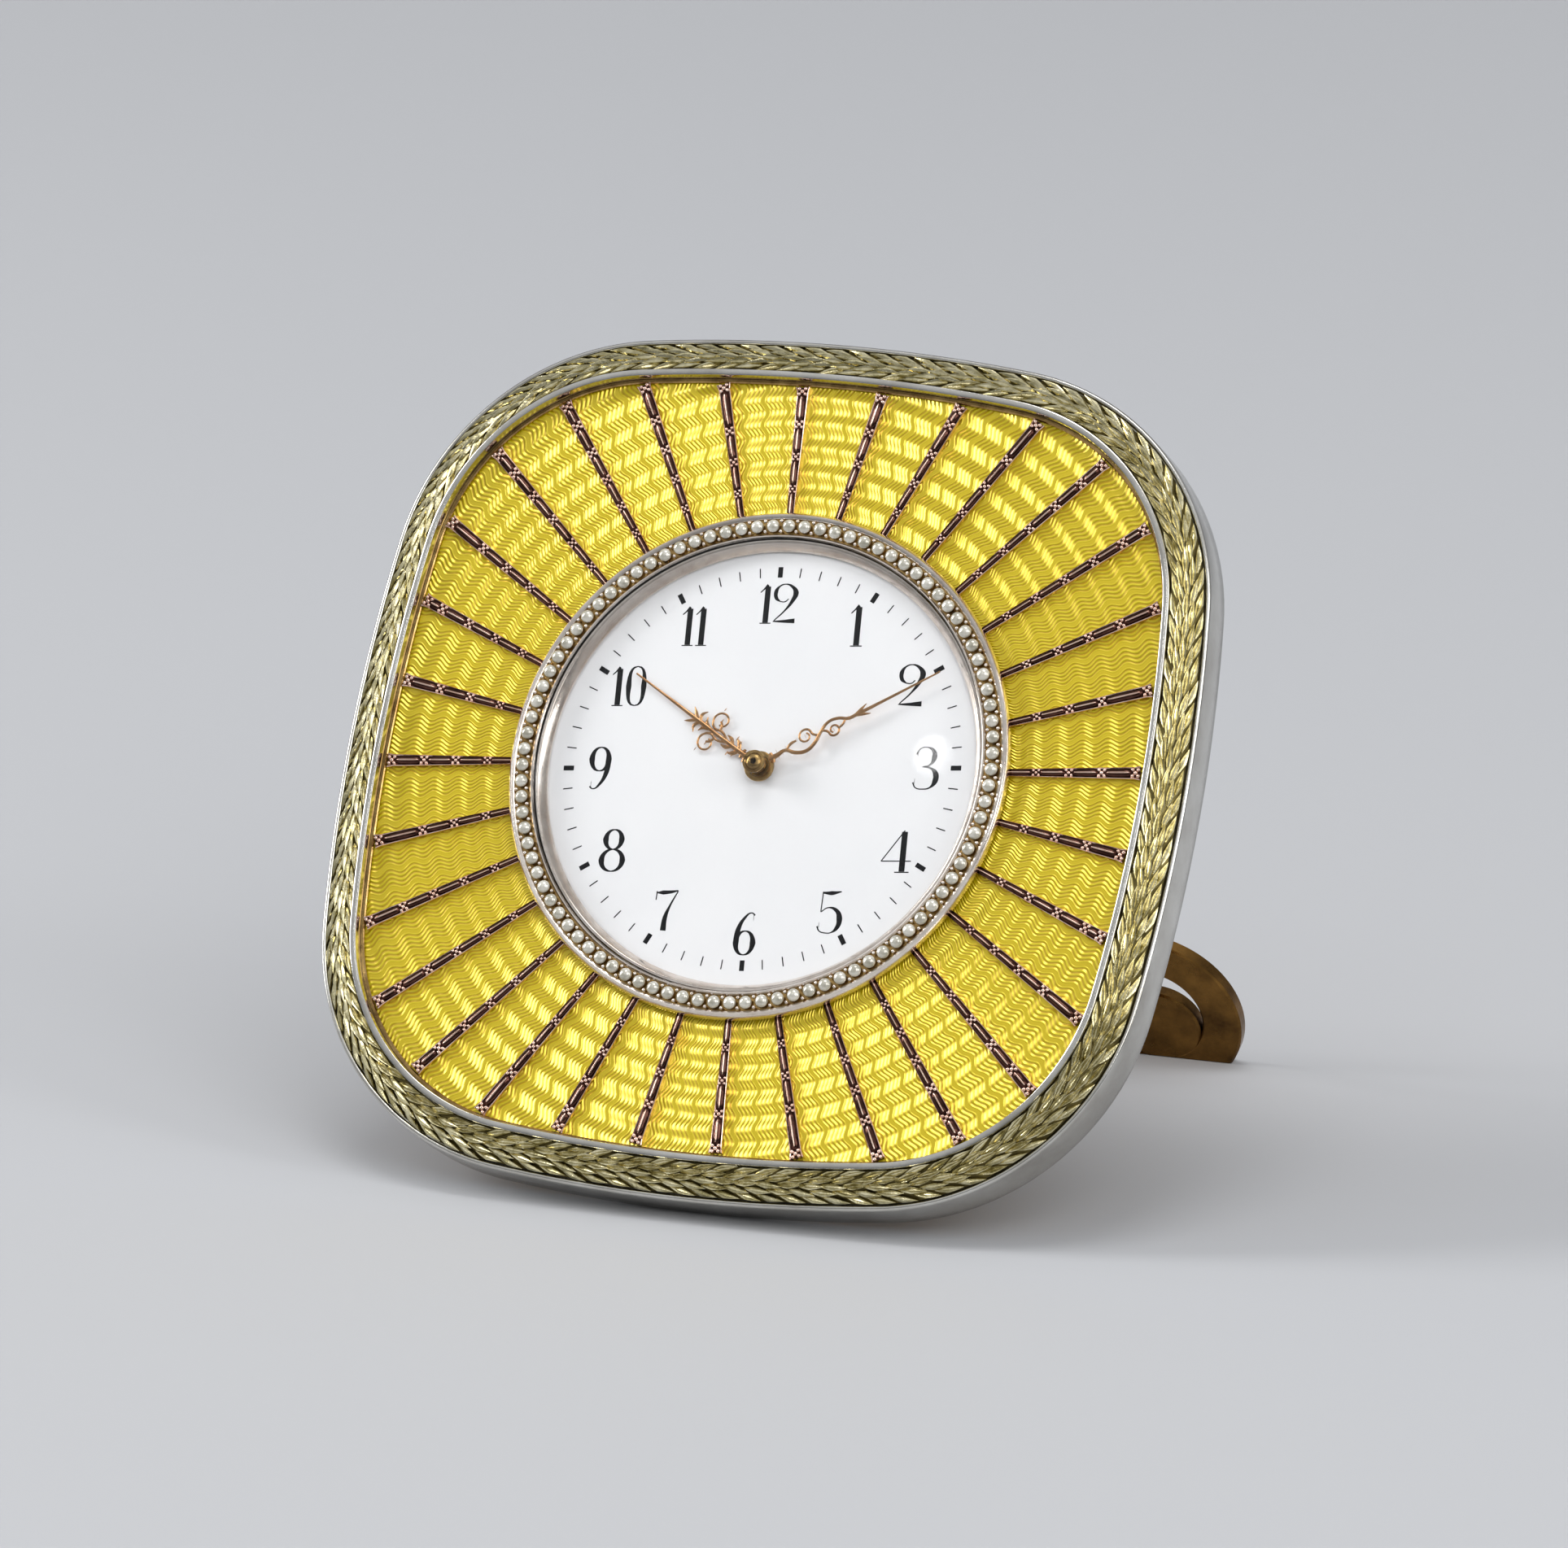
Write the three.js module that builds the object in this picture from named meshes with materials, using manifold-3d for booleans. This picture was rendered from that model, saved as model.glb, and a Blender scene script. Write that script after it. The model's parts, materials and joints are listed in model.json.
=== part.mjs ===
import * as THREE from 'three';
import Module from 'manifold-3d';
import { mergeVertices } from 'three/addons/utils/BufferGeometryUtils.js';

// An enamel desk clock on a hinged strut, in millimetres, +Z up, leaning back as it stands.
// Pieces are drawn in the frame of the case: x to the right, y up the face, z out of the face,
// with z = 0 at the rear edge of the case.

const degree = Math.PI / 180;

// Fits
const seat = 0.15; // gap between seated pieces
const run = 0.1; // radial gap of a turning pivot

// Case
const lean = 30 * degree; // face from upright
const caseHalf = 53.2; // centre to the middle of a side
const sideBow = 214; // radius of the bowed sides
const cornerRadius = 31;
const bandDepth = 7.0; // rear edge to front rim
const bandWall = 1.4;
const rearBevel = 0.9; // height of the bevel that the case stands on
const rimRound = 0.4;
const rimWidth = 0.7;
const flangeTop = 5.8; // seat of the border and the panel
const flangeThickness = 1.0;
const flangeReach = 2.0; // how far the flange goes under the panel

// Border and panel
const laurelWidth = 3.5;
const filletWidth = 0.55;
const filletRise = 1.9; // fillet above the panel
const filletStep = 0.25; // fillet above the laurel beside it
const ledgeWidth = 0.6;
const ledgeHeight = 0.3;
const panelThickness = 1.2;

// Rays
const rayCount = 32;
const rayPhase = 0.36; // of a step, from the middle of the right side to the first ray
const rayInnerWidth = 0.8;
const rayOuterWidth = 1.4;
const rayHeight = 0.5;
const fretRingWidth = 1.5; // ring under the bezel that joins the rays

// Bezel, pearls and crystal
const bezelOuter = 31.3;
const bezelFlange = 0.5;
const bezelLip = 0.6; // lips beside the pearls, above the channel
const lipWidth = 0.9;
const sleeveWall = 1.0;
const sleeveDepth = 2.4;
const pearlCount = 93;
const pearlRadius = 0.82;
const pearlNeck = 0.35;
const innerBezelWidth = 1.1;
const innerBezelHeight = 1.4;
const crystalEdge = 0.6;
const crystalRise = 2.5;
const crystalThickness = 0.8;

// Dial and hands
const dialTurn = 5.4 * degree; // dial's 12 turned from the case's middle line
const dialDrop = 0.15; // dial below the front of the panel
const dialThickness = 1.0;
const dialHole = 1.6;
const dialFootRadius = 0.6;
const dialFootCircle = 18;
const hourAngle = 304.8 * degree; // clockwise from 12
const minuteAngle = 62 * degree;
const hourLength = 20.5;
const minuteLength = 24.9;
const handThickness = 0.25;
const handLift = 0.35; // hour hand above the dial
const handGap = 0.1;
const hourBoss = 1.85;
const minuteBoss = 1.45;
const hourColletHeight = 0.35;
const minuteColletHeight = 1.15;
const colletHole = 0.45;

// Movement
const motionGap = 2.8; // dial to dial plate
const plateThickness = 1.6;
const trainHeight = 6.0; // between the plates
const rearPlateThickness = 1.4;
const rearPlateRadius = 24;
const pillarRadius = 1.5;
const pillarCircle = 21.6;
const pillarAngles = [40 * degree, 165 * degree, 285 * degree];
const drumWall = 1.0;
const drumRear = -10.2;
const drumFlangeWidth = 3.2;
const drumFlangeThickness = 1.0;
const capThickness = 1.0;
const capSkirt = 2.0;
const capBevel = 0.5;
const backThickness = 1.2;
const backRecess = 0.2; // back plate inside the rear edge

// Going train: teeth, pitch radii and directions from one arbor to the next
const barrelTeeth = 60;
const barrelPitch = 9.0;
const barrelDirection = 120 * degree;
const centreLeaves = 10;
const centreTeeth = 48;
const centrePitch = 6.4;
const thirdDirection = -20 * degree;
const thirdLeaves = 6;
const thirdTeeth = 45;
const thirdPitch = 5.4;
const fourthDirection = -115 * degree;
const fourthLeaves = 6;
const fourthTeeth = 60;
const fourthPitch = 4.8;
const escapeDirection = -170 * degree;
const escapeLeaves = 6;
const escapeTeeth = 15;
const escapeRadius = 3.6;
const palletDirection = -170 * degree;
const palletDistance = 4.25;
const balanceDirection = 160 * degree;
const balanceDistance = 5.0;
const wheelThickness = 0.45;
const addendum = 0.6; // of the module
const dedendum = 1.2; // of the module

// Train heights, from the rear face of the dial plate backwards
const barrelLevel = 0.5;
const barrelToothWidth = 0.8;
const barrelDepth = 3.4;
const barrelRim = 0.8; // step from pitch circle to barrel wall
const barrelWall = 0.7;
const fourthLevel = 1.2;
const thirdLevel = 2.6;
const escapeLevel = 3.6;
const centreLevel = 4.6;
const pinionOverhang = 0.3; // pinion past the wheel that it meets

// Arbors
const pivotDepth = 1.0; // arbor into each plate
const setArborRadius = 0.6;
const cannonRadius = 0.75;
const centreArborRadius = 1.12;
const thirdArborRadius = 0.45;
const fourthArborRadius = 0.4;
const escapeArborRadius = 0.27;
const leverArborRadius = 0.4;
const balanceStaffRadius = 0.35;
const barrelArborRadius = 1.2;

// Spring, ratchet and balance
const springTurns = 3;
const springStrip = 0.4;
const ratchetTeeth = 24;
const ratchetTip = 4.6;
const ratchetRoot = 3.9;
const ratchetThickness = 0.8;
const clickAngle = 20 * degree;
const clickReach = 6.63; // barrel axis to click pivot
const clickLead = 40 * degree; // tooth that the click holds to its pivot
const clickBite = [2 * degree, 5.5 * degree]; // tip of the click past that tooth
// Click and click spring, drawn round the click's pivot
const clickShape = [[0.32, -3.66], [0.92, -0.36], [0.32, 0.84], [-0.68, 0.64], [-0.18, -2.06]];
const clickSpringShape = [
  [1.12, -4.06], [1.42, -4.06], [2.22, -0.06], [3.32, 1.34], [2.32, 2.34], [1.82, 0.14],
];
const clickThickness = 0.7;
const leverThickness = 0.5;
const balanceRadius = 6.5;
const balanceRim = 0.9;
const balanceThickness = 0.8;
const balanceClearance = 0.9; // rear plate to balance
const balanceHub = 0.9;
const hairTurns = 3;
const hairStrip = 0.18;
const hairOuter = 4.2;
const hairHeight = 0.4;
const cockThickness = 0.9;
const cockRise = 3.0; // rear plate to the cock's arm
const cockFootRadius = 1.7;
const cockReach = 9.0; // balance to the cock's foot

// Motion work
const motionPitch = 5.0; // centre to minute wheel post
const motionDirection = 200 * degree;
const cannonLeaves = 10;
const minuteTeeth = 30;
const minuteLeaves = 8;
const hourTeeth = 32;
const postRadius = 0.5;
const hourPipeRadius = 1.25;

// Winding and setting
const keyHubRadius = 2.0;
const keyLength = 6.5;
const keyWing = 5.8; // half span of the wings
const keyWingHeight = 3.6;
const keyThickness = 1.2;
const knobRadius = 3.2;
const knobThickness = 2.2;
const knobRidges = 14;
const knobGap = 0.6; // cap to knob

// Strut and hinge
const strutThickness = 2.0;
const strutLength = 86; // hinge axis to sole
const strutBand = 5.0;
const ringClearance = 2.2; // strut ring to drum
const hingeClearance = 1.34; // strut ring to the hinge's knuckles
const hingeDrop = 1.9; // axis behind the rear edge
const knuckleRadius = 1.6;
const knuckleWidth = 10; // of the strut's knuckle
const leafKnuckleWidth = 5;
const pinRadius = 0.8;
const leafHeight = 8;
const leafThickness = 0.8;
const footCentreX = 27.8;
const footCentreRise = 7.0; // scroll centre above the sole
const footRadius = 11.8;
const eyeRadius = 5.4;
const eyeShift = [0.94, -1.86];

// Screws
const screwRadius = 0.9;
const screwHeadRadius = 1.8;
const screwHeadHeight = 0.8;
const backScrewHeight = 14; // above and below the middle
const leafScrewSpacing = 12;

// Facets
const sideSteps = 5;
const cornerSteps = 7;
const roundSteps = 40;
const smallSteps = 12;
const screwSteps = 8;
const pearlSides = 4;
const crystalSteps = 4;

// Finishes, from the photograph where they show
const finishes = {
  silver: { color: 0xb9b8b2, roughness: 0.28, metalness: 1 },
  laurelGold: { color: 0xc9b878, roughness: 0.32, metalness: 1 },
  roseGold: { color: 0xb47a62, roughness: 0.25, metalness: 1 },
  handGold: { color: 0xb98558, roughness: 0.28, metalness: 1 },
  yellowEnamel: { color: 0xe3bd0f, roughness: 0.12, metalness: 0 },
  whiteEnamel: { color: 0xf2f2f0, roughness: 0.12, metalness: 0 },
  pearl: { color: 0xe6dfd2, roughness: 0.3, metalness: 0 },
  crystal: { color: 0xf4f8f8, roughness: 0.02, metalness: 0, transparent: true, opacity: 0.25 },
  gilt: { color: 0x9a7433, roughness: 0.4, metalness: 1 },
  brass: { color: 0xb5924a, roughness: 0.35, metalness: 1 },
  steel: { color: 0x8c9096, roughness: 0.3, metalness: 1 },
};

// Joining and cutting
const wasm = await Module();
wasm.setup();

function toSolid(geometry) {
  const bare = geometry.index ? geometry.toNonIndexed() : geometry.clone();
  bare.deleteAttribute('normal');
  bare.deleteAttribute('uv');
  const merged = mergeVertices(bare, 1e-4);
  const vertProperties = merged.attributes.position.array;
  const triVerts = Uint32Array.from(merged.index.array);
  return new wasm.Manifold(new wasm.Mesh({ numProp: 3, vertProperties, triVerts }));
}

function toGeometry(solid) {
  const mesh = solid.getMesh();
  const geometry = new THREE.BufferGeometry();
  geometry.setAttribute('position', new THREE.BufferAttribute(mesh.vertProperties, 3));
  geometry.setIndex(new THREE.BufferAttribute(mesh.triVerts, 1));
  return geometry;
}

function join(first, ...others) {
  return toGeometry(others.reduce((whole, other) => whole.add(toSolid(other)), toSolid(first)));
}

function cut(base, ...tools) {
  return toGeometry(tools.reduce((whole, tool) => whole.subtract(toSolid(tool)), toSolid(base)));
}

// Shapes
function polar(radius, angle) {
  return [radius * Math.cos(angle), radius * Math.sin(angle)];
}

function circle(radius, steps, centre = [0, 0]) {
  return Array.from({ length: steps }, (_, i) => {
    const [x, y] = polar(radius, (i / steps) * 2 * Math.PI);
    return [centre[0] + x, centre[1] + y];
  });
}

// A toothed outline, tips and roots in turn, with one tip in the direction given
function toothed(teeth, pitchRadius, tipDirection) {
  const module = (2 * pitchRadius) / teeth;
  return Array.from({ length: 2 * teeth }, (_, i) => {
    const radius = pitchRadius + (i % 2 ? -dedendum : addendum) * module;
    return polar(radius, tipDirection + (i / teeth) * Math.PI);
  });
}

function path(points, Kind = THREE.Path) {
  return new Kind(points.map(([x, y]) => new THREE.Vector2(x, y)));
}

// A flat plate from one height to another, with holes
function plate(points, from, to, holes = []) {
  const shape = path(points, THREE.Shape);
  shape.holes = holes.map((hole) => path(hole));
  const geometry = new THREE.ExtrudeGeometry(shape, { depth: to - from, bevelEnabled: false });
  return geometry.translate(0, 0, from);
}

function rod(radius, from, to, centre = [0, 0], steps = smallSteps) {
  return plate(circle(radius, steps, centre), from, to);
}

// A turned ring or disc from a profile of [radius, z], outer side upwards
function turned(profile, steps = roundSteps) {
  const points = profile.map(([r, z]) => new THREE.Vector2(r, z));
  if (profile[0][0] > 0) {
    points.push(points[0].clone());
  }
  return new THREE.LatheGeometry(points, steps).rotateX(Math.PI / 2);
}

// Rings of equal count skinned one after another, closed on itself or capped at both ends
function loft(rings, closed) {
  const count = rings[0].length;
  const positions = rings.flat(2);
  const index = [];
  const bands = closed ? rings.length : rings.length - 1;
  for (let band = 0; band < bands; band += 1) {
    const lower = band * count;
    const upper = ((band + 1) % rings.length) * count;
    for (let i = 0; i < count; i += 1) {
      const next = (i + 1) % count;
      index.push(lower + i, lower + next, upper + next);
      index.push(lower + i, upper + next, upper + i);
    }
  }
  if (!closed) {
    const top = (rings.length - 1) * count;
    for (let i = 1; i < count - 1; i += 1) {
      index.push(0, i + 1, i);
      index.push(top, top + i, top + i + 1);
    }
  }
  const geometry = new THREE.BufferGeometry();
  geometry.setAttribute('position', new THREE.Float32BufferAttribute(positions, 3));
  geometry.setIndex(index);
  return geometry;
}

function level(points, z) {
  return points.map(([x, y]) => [x, y, z]);
}

// Outline of the case: bowed sides joined by round corners
const bowCentre = caseHalf - sideBow;
const arcSpread = sideBow - cornerRadius;
const cornerCentre = (bowCentre + Math.sqrt(2 * arcSpread ** 2 - bowCentre ** 2)) / 2;
const sideAngle = Math.atan2(cornerCentre, cornerCentre - bowCentre);

function outline(inset) {
  const quarter = [];
  for (let i = 0; i <= sideSteps; i += 1) {
    const [x, y] = polar(sideBow - inset, sideAngle * ((2 * i) / sideSteps - 1));
    quarter.push([bowCentre + x, y]);
  }
  for (let i = 1; i < cornerSteps; i += 1) {
    const angle = sideAngle + (i / cornerSteps) * (Math.PI / 2 - 2 * sideAngle);
    const [x, y] = polar(cornerRadius - inset, angle);
    quarter.push([cornerCentre + x, cornerCentre + y]);
  }
  const turns = [([x, y]) => [x, y], ([x, y]) => [-y, x], ([x, y]) => [-x, -y], ([x, y]) => [y, -x]];
  return turns.flatMap((turn) => quarter.map(turn));
}

// A moulding of [inset, z] points carried round the outline
function moulding(profile) {
  return loft(profile.map(([inset, z]) => level(outline(inset), z)), true);
}

// Assembly groups
const clock = new THREE.Group();
clock.rotation.x = Math.PI / 2 - lean;

function piece(name, geometry, finish, parent = clock) {
  const mesh = new THREE.Mesh(geometry, new THREE.MeshStandardMaterial(finishes[finish]));
  mesh.name = name;
  parent.add(mesh);
  return mesh;
}

// Case band: side wall, front rim and the flange that carries border and panel
const laurelOuter = rimWidth + seat;
const laurelInner = laurelOuter + laurelWidth;
const filletOuter = laurelInner + seat;
const filletInner = filletOuter + filletWidth;
const panelInset = filletInner + seat;
const flangeInner = panelInset + flangeReach;
const flangeBottom = flangeTop - flangeThickness;
piece('case_band', moulding([
  [bandWall, 0],
  [rearBevel * Math.tan(lean), 0],
  [0, rearBevel],
  [0, bandDepth - rimRound],
  [rimRound, bandDepth],
  [rimWidth, bandDepth],
  [rimWidth, flangeTop],
  [flangeInner, flangeTop],
  [flangeInner, flangeBottom],
  [bandWall, flangeBottom],
]), 'silver');

// Laurel border, fillet, panel and ledge
const borderBase = flangeTop + seat;
const panelFront = borderBase + panelThickness;
const filletTop = panelFront + filletRise;
const laurelTop = filletTop - filletStep;
const laurelClimb = laurelTop - bandDepth;
piece('laurel_border', moulding([
  [laurelInner, borderBase],
  [laurelOuter, borderBase],
  [laurelOuter, bandDepth],
  [laurelOuter + laurelWidth / 4, bandDepth + 0.5 * laurelClimb],
  [laurelOuter + laurelWidth / 2, bandDepth + 0.82 * laurelClimb],
  [laurelInner, laurelTop],
]), 'laurelGold');

const filletRound = filletWidth / 3;
piece('border_fillet', moulding([
  [filletInner, borderBase],
  [filletOuter, borderBase],
  [filletOuter, filletTop - filletRound],
  [filletOuter + filletRound, filletTop],
  [filletInner - filletRound, filletTop],
  [filletInner, filletTop - filletRound],
]), 'silver');

const flangeUnderside = panelFront + seat + rayHeight + seat;
const channelFloor = flangeUnderside + bezelFlange;
const lipTop = channelFloor + bezelLip;
const pearlCircle = bezelOuter - lipWidth - seat - pearlRadius;
const sleeveInner = pearlCircle - pearlRadius - seat - lipWidth / 2;
const sleeveOuter = sleeveInner + sleeveWall;
piece('enamel_panel', plate(outline(panelInset), borderBase, panelFront, [
  circle(sleeveOuter + seat, roundSteps),
]), 'yellowEnamel');

const ledgeBase = panelFront + seat;
piece('panel_ledge', moulding([
  [panelInset + ledgeWidth, ledgeBase],
  [panelInset, ledgeBase],
  [panelInset, ledgeBase + ledgeHeight],
  [panelInset + ledgeWidth, ledgeBase + ledgeHeight],
]), 'roseGold');

// Sunray fret: ray ends evenly spaced round the border and round a ring hidden under the bezel
function borderPoints(inset) {
  const corners = outline(inset);
  const first = (sideSteps + 1) / 2;
  const route = [...corners.slice(first), ...corners.slice(0, first)];
  route.unshift([caseHalf - inset, 0]);
  route.push(route[0]);
  const lengths = route.slice(1).map(([x, y], i) => Math.hypot(x - route[i][0], y - route[i][1]));
  const total = lengths.reduce((sum, length) => sum + length, 0);
  return Array.from({ length: rayCount }, (_, ray) => {
    let left = ((ray + rayPhase) / rayCount) * total;
    let leg = 0;
    while (left > lengths[leg]) {
      left -= lengths[leg];
      leg += 1;
    }
    const share = left / lengths[leg];
    return route[leg].map((value, axis) => value + share * (route[leg + 1][axis] - value));
  });
}

const fretRing = bezelOuter - seat;
const rayStep = (2 * Math.PI) / rayCount;
const rayInset = panelInset + ledgeWidth + 2 * seat;
const fretPoints = borderPoints(rayInset).flatMap(([x, y], ray) => {
  const inner = (ray + rayPhase) * rayStep;
  const innerSpread = rayInnerWidth / 2 / fretRing;
  const [rootX, rootY] = polar(fretRing, inner);
  const slope = Math.atan2(y - rootY, x - rootX);
  const [sideX, sideY] = polar(rayOuterWidth / 2, slope + Math.PI / 2);
  const [backX, backY] = polar(rayOuterWidth / 8, slope);
  return [
    polar(fretRing, inner - innerSpread),
    [x - sideX - backX, y - sideY - backY],
    [x + sideX - backX, y + sideY - backY],
    polar(fretRing, inner + innerSpread),
    polar(fretRing, inner + rayStep / 2),
  ];
});
piece('sunray_fret', plate(fretPoints, ledgeBase, ledgeBase + rayHeight, [
  circle(fretRing - fretRingWidth, rayCount),
]), 'roseGold');

// Bezel with its channel of pearls
piece('bezel_ring', turned([
  [sleeveInner, flangeUnderside - sleeveDepth],
  [sleeveOuter, flangeUnderside - sleeveDepth],
  [sleeveOuter, flangeUnderside],
  [bezelOuter, flangeUnderside],
  [bezelOuter, channelFloor],
  [bezelOuter - lipWidth / 3, lipTop],
  [bezelOuter - lipWidth, lipTop],
  [bezelOuter - lipWidth, channelFloor],
  [pearlCircle - pearlRadius - seat, channelFloor],
  [pearlCircle - pearlRadius - seat, lipTop],
  [sleeveInner, lipTop],
]), 'roseGold');

const pearlHeight = channelFloor + seat + pearlRadius;
const pearlRings = Array.from({ length: 2 * pearlCount }, (_, i) => {
  const direction = (i / pearlCount) * Math.PI;
  return circle(i % 2 ? pearlNeck : pearlRadius, pearlSides).map(([up, out]) => [
    ...polar(pearlCircle + out, direction),
    pearlHeight + up,
  ]);
});
piece('pearl_ring', loft(pearlRings, true), 'pearl');

// Dial on its feet, sloped inner bezel and domed crystal
const dialFront = panelFront - dialDrop;
const dialBack = dialFront - dialThickness;
const dialRadius = sleeveInner - 2 * seat;
const plateFront = dialBack - motionGap;
const dialFeet = [0, Math.PI].map((turn) => (
  rod(dialFootRadius, plateFront + seat, dialBack + dialThickness / 2, polar(dialFootCircle, turn))
));
const dialDisc = plate(circle(dialRadius, roundSteps), dialBack, dialFront, [circle(dialHole, smallSteps)]);
piece('dial', join(dialDisc, ...dialFeet), 'whiteEnamel');

const innerBezelBase = dialFront + seat;
const innerBezelTop = innerBezelBase + innerBezelHeight;
const innerBezelOuter = sleeveInner - seat;
const slopeLip = 0.3;
piece('inner_bezel', turned([
  [innerBezelOuter - innerBezelWidth, innerBezelBase],
  [innerBezelOuter, innerBezelBase],
  [innerBezelOuter, innerBezelTop],
  [innerBezelOuter - slopeLip, innerBezelTop],
  [innerBezelOuter - innerBezelWidth, innerBezelBase + slopeLip],
]), 'silver');

const crystalBase = innerBezelTop + seat;
function domeProfile(radius, edge, rise) {
  return Array.from({ length: crystalSteps + 1 }, (_, i) => {
    const share = i / crystalSteps;
    return [radius * share, edge + rise * (1 - share ** 2)];
  });
}
const crystalInsideRise = crystalRise - crystalThickness + crystalEdge;
const crystalInside = domeProfile(innerBezelOuter - innerBezelWidth, crystalBase, crystalInsideRise);
const crystalOutside = domeProfile(innerBezelOuter, crystalBase + crystalEdge, crystalRise);
piece('crystal', turned([
  ...crystalInside,
  [innerBezelOuter, crystalBase],
  ...crystalOutside.reverse(),
]), 'crystal');

// Hands, each with its collet on top
function handBlade(stations, from, to, eyes) {
  const upper = stations.map(([x, half]) => [x, half]);
  const lower = stations.map(([x, half]) => [x, -half]).reverse();
  return plate([...lower, ...upper], from, to, eyes);
}

function diamond(middle, halfLength, halfWidth) {
  return [
    [middle - halfLength, 0],
    [middle, -halfWidth],
    [middle + halfLength, 0],
    [middle, halfWidth],
  ];
}

function hand(blade, boss, bore, from, to, clockwise) {
  const disc = rod(boss, from, to);
  const hole = rod(bore, from - handThickness, to + handThickness);
  const direction = Math.PI / 2 + dialTurn - clockwise;
  return cut(join(disc, blade), hole).rotateZ(direction);
}

const hourBase = dialFront + handLift;
const hourTop = hourBase + handThickness;
const hourStations = [
  [hourBoss / 2, 0.5],
  [0.15 * hourLength, 0.4],
  [0.28 * hourLength, 1.9],
  [0.4 * hourLength, 1.6],
  [0.52 * hourLength, 0.45],
  [hourLength, 0.08],
];
const hourBlade = handBlade(hourStations, hourBase, hourTop, [diamond(0.32 * hourLength, 1.8, 0.9)]);
const hourBore = hourPipeRadius + run;
piece('hour_hand', hand(hourBlade, hourBoss, hourBore, hourBase, hourTop, hourAngle), 'handGold');

const hourColletBase = hourTop + handGap;
const hourColletTop = hourColletBase + hourColletHeight;
piece('hour_collet', turned([
  [hourBore, hourColletBase],
  [hourBoss, hourColletBase],
  [hourBoss, hourColletTop],
  [hourBore, hourColletTop],
], 2 * screwSteps), 'handGold');

const minuteBase = hourColletTop + handGap;
const minuteTop = minuteBase + handThickness;
const minuteStations = [
  [minuteBoss / 2, 0.45],
  [0.16 * minuteLength, 0.35],
  [0.3 * minuteLength, 1.3],
  [0.45 * minuteLength, 1.1],
  [0.56 * minuteLength, 0.4],
  [minuteLength, 0.08],
];
const minuteEye = diamond(0.37 * minuteLength, 2.4, 0.55);
const minuteBlade = handBlade(minuteStations, minuteBase, minuteTop, [minuteEye]);
const minuteBore = cannonRadius + run;
piece('minute_hand', hand(
  minuteBlade, minuteBoss, minuteBore, minuteBase, minuteTop, minuteAngle,
), 'handGold');

const minuteColletBase = minuteTop + handGap;
const minuteColletTop = minuteColletBase + minuteColletHeight;
const arborTop = minuteColletBase + minuteColletHeight / 2;
piece('minute_collet', turned([
  [minuteBore, minuteColletBase],
  [minuteBoss, minuteColletBase],
  [minuteBoss, minuteColletTop - minuteColletHeight / 4],
  [minuteBoss - minuteColletHeight / 4, minuteColletTop],
  [colletHole, minuteColletTop],
  [colletHole, arborTop + seat],
  [minuteBore, arborTop + seat],
], 2 * screwSteps), 'handGold');

// Places of the arbors
const along = (start, distance, direction) => {
  const [x, y] = polar(distance, direction);
  return [start[0] + x, start[1] + y];
};
const centre = [0, 0];
const centreLeafPitch = (barrelPitch * centreLeaves) / barrelTeeth;
const thirdLeafPitch = (centrePitch * thirdLeaves) / centreTeeth;
const fourthLeafPitch = (thirdPitch * fourthLeaves) / thirdTeeth;
const escapeLeafPitch = (fourthPitch * escapeLeaves) / fourthTeeth;
const barrelAt = along(centre, barrelPitch + centreLeafPitch, barrelDirection);
const thirdAt = along(centre, centrePitch + thirdLeafPitch, thirdDirection);
const fourthAt = along(thirdAt, thirdPitch + fourthLeafPitch, fourthDirection);
const escapeAt = along(fourthAt, fourthPitch + escapeLeafPitch, escapeDirection);
const palletAt = along(escapeAt, palletDistance, palletDirection);
const balanceAt = along(palletAt, balanceDistance, balanceDirection);
const balanceOut = Math.atan2(balanceAt[1], balanceAt[0]);
const cockFootAt = along(balanceAt, cockReach, balanceOut);
const clickPivot = polar(clickReach, clickLead);
const clickAt = along(barrelAt, clickReach, clickLead + clickAngle);
const postAt = along(centre, motionPitch, motionDirection);

// Heights of the movement
const plateBack = plateFront - plateThickness;
const rearPlateFront = plateBack - trainHeight;
const rearPlateBack = rearPlateFront - rearPlateThickness;
const drumInner = sleeveInner - seat - drumWall;
const drumOuter = drumInner + drumWall;
const frontPivot = plateBack + pivotDepth;
const rearPivot = rearPlateFront - pivotDepth;
const capFront = drumRear - seat;
const capBack = capFront - capThickness;
const knobFront = capBack - knobGap;
const knobBack = knobFront - knobThickness;
const keyFront = capBack - knobGap;
const keyBack = keyFront - keyLength;

// Plates and pillars
const bores = (radius, places) => places.map((place) => circle(radius + run, smallSteps, place));
const pillarsAt = pillarAngles.map((angle) => polar(pillarCircle, angle));
const trainBores = [
  ...bores(centreArborRadius, [centre]),
  ...bores(barrelArborRadius, [barrelAt]),
  ...bores(thirdArborRadius, [thirdAt]),
  ...bores(fourthArborRadius, [fourthAt]),
  ...bores(escapeArborRadius, [escapeAt]),
  ...bores(leverArborRadius, [palletAt]),
  ...bores(balanceStaffRadius, [balanceAt]),
];
const frontPlate = plate(circle(drumInner - seat, roundSteps), plateBack, plateFront, trainBores);
const minutePost = rod(postRadius, plateFront - plateThickness / 2, dialBack - seat, postAt);
piece('dial_plate', join(frontPlate, minutePost), 'brass');
piece('rear_plate', plate(circle(rearPlateRadius, roundSteps), rearPlateBack, rearPlateFront, [
  ...trainBores,
  ...bores(screwRadius / 2, [clickAt]),
]), 'brass');
pillarsAt.forEach((place, i) => {
  piece(`pillar_${i + 1}`, rod(pillarRadius, rearPlateFront + seat, plateBack - seat, place), 'brass');
});

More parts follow.
